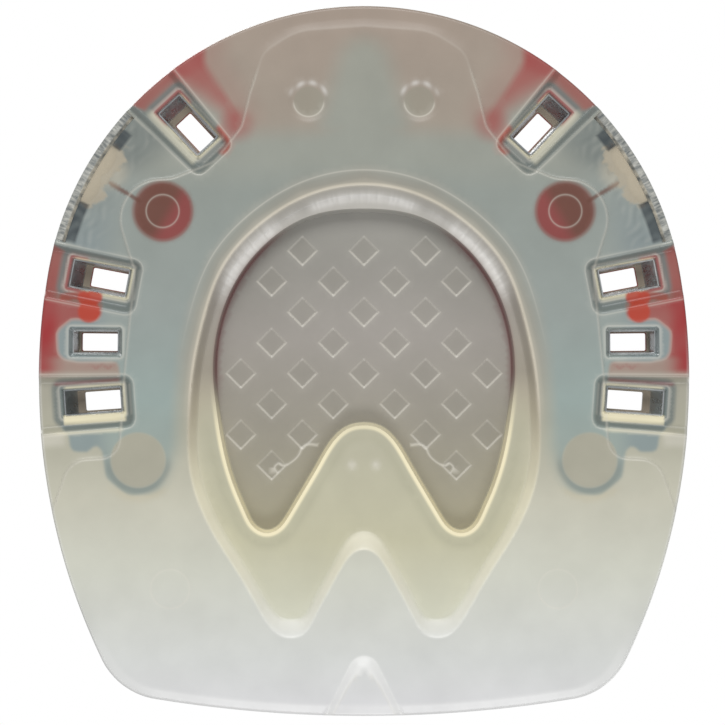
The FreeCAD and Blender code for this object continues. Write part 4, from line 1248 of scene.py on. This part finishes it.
body_vertices, body_faces, body_tints, body_clear = build_body()
body = make_object("moulded_body", body_vertices, body_faces, plastic_material())
store(body, "tint", "FLOAT_COLOR", "color", np.column_stack([body_tints, np.ones(len(body_tints))]))
store(body, "clear", "FLOAT", "value", body_clear)
body.data.set_sharp_from_angle(angle=math.radians(50))
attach(body, "root")
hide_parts("sole_body")

sheared = steel_material("sheared_clip_steel")
skin_over_foot(sheared)
weld_metal = soft_material("weld_metal", colour(228, 214, 190), 0.55, 500.0)
red_plastic = soft_material("red_plastic", colour(150, 46, 38), 0.4, 200.0)
DRESSED = {"steel_core": steel_material("zinc_steel")}
for side in ("left", "right"):
    DRESSED["side_clip_" + side] = sheared
    DRESSED["clip_weld_" + side] = weld_metal
    DRESSED["quarter_cushion_" + side] = red_plastic
for node, material in DRESSED.items():
    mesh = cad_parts[node].data
    mesh.materials.clear()
    mesh.materials.append(material)


# ---------------------------------------------------------------- studio

def floor_material():
    """Pale matte floor, which is only there from above."""
    material, tree = new_material("studio_floor")
    shader = tree.nodes["Principled BSDF"]
    fill(tree, shader, {"Base Color": (0.86, 0.86, 0.85, 1), "Roughness": 0.9})
    mix = add_node(tree, "MixShader", {
        "Fac": add_node(tree, "NewGeometry", {}).outputs["Backfacing"],
        1: shader.outputs["BSDF"],
        2: add_node(tree, "BsdfTransparent", {}).outputs["BSDF"]})
    fill(tree, tree.nodes["Material Output"], {"Surface": mix.outputs["Shader"]})
    return material


def make_floor():
    """A wide floor just under the shoe, which throws no shadow or light back on it."""
    reach, drop = 4.0, 0.0003
    mesh = bpy.data.meshes.new("floor")
    mesh.from_pydata([(-reach, -reach, 0), (reach, -reach, 0), (reach, reach, 0), (-reach, reach, 0)], [],
                     [(0, 1, 2, 3)])
    mesh.materials.append(floor_material())
    floor = bpy.data.objects.new("floor", mesh)
    floor.location.z = -drop
    bpy.context.scene.collection.objects.link(floor)
    floor.visible_shadow = False
    floor.visible_diffuse = False
    floor.visible_glossy = False


def make_light(name, place, size, power):
    """A soft square lamp aimed at the shoe."""
    lamp = bpy.data.lights.new(name, "AREA")
    lamp.shape = "RECTANGLE"
    lamp.size, lamp.size_y = size
    lamp.energy = power
    thing = bpy.data.objects.new(name, lamp)
    thing.location = place
    thing.rotation_euler = (-Vector(place)).to_track_quat("-Z", "Y").to_euler()
    bpy.context.scene.collection.objects.link(thing)


def make_world():
    """White to the camera, and a softer grey as light."""
    world = bpy.data.worlds.new("studio")
    world.use_nodes = True
    tree = world.node_tree
    seen = add_node(tree, "LightPath", {}).outputs["Is Camera Ray"]
    fill(tree, tree.nodes["Background"], {"Color": (1, 1, 1, 1), "Strength": spread(tree, seen, 0.42, 1.0)})
    bpy.context.scene.world = world


def make_camera():
    """Square on to the ground face from below, toe at the top of the picture."""
    distance, seen, shift = 1.6, 0.14544, 0.0003
    camera = bpy.data.cameras.new("camera")
    camera.sensor_width = 36.0
    camera.lens = camera.sensor_width * distance / seen
    thing = bpy.data.objects.new("camera", camera)
    thing.location = (-shift, shift, -distance)
    thing.rotation_euler = (math.pi, 0, 0)
    bpy.context.scene.collection.objects.link(thing)
    bpy.context.scene.camera = thing


# lamps: name, place and size in metres, power in watts
LAMPS = [
    ("key_below", (-0.05, -0.75, -0.75), (0.7, 0.5), 5.6),
    ("fill_below", (0.05, 0.75, -0.7), (0.6, 0.3), 3.4),
    ("key_above", (-0.5, -0.6, 0.9), (0.8, 0.6), 7.5),
    ("fill_above", (0.7, 0.5, 0.7), (0.7, 0.5), 2.5),
]

make_floor()
for lamp_settings in LAMPS:
    make_light(*lamp_settings)
make_world()
make_camera()
bpy.context.scene.view_settings.view_transform = "Standard"
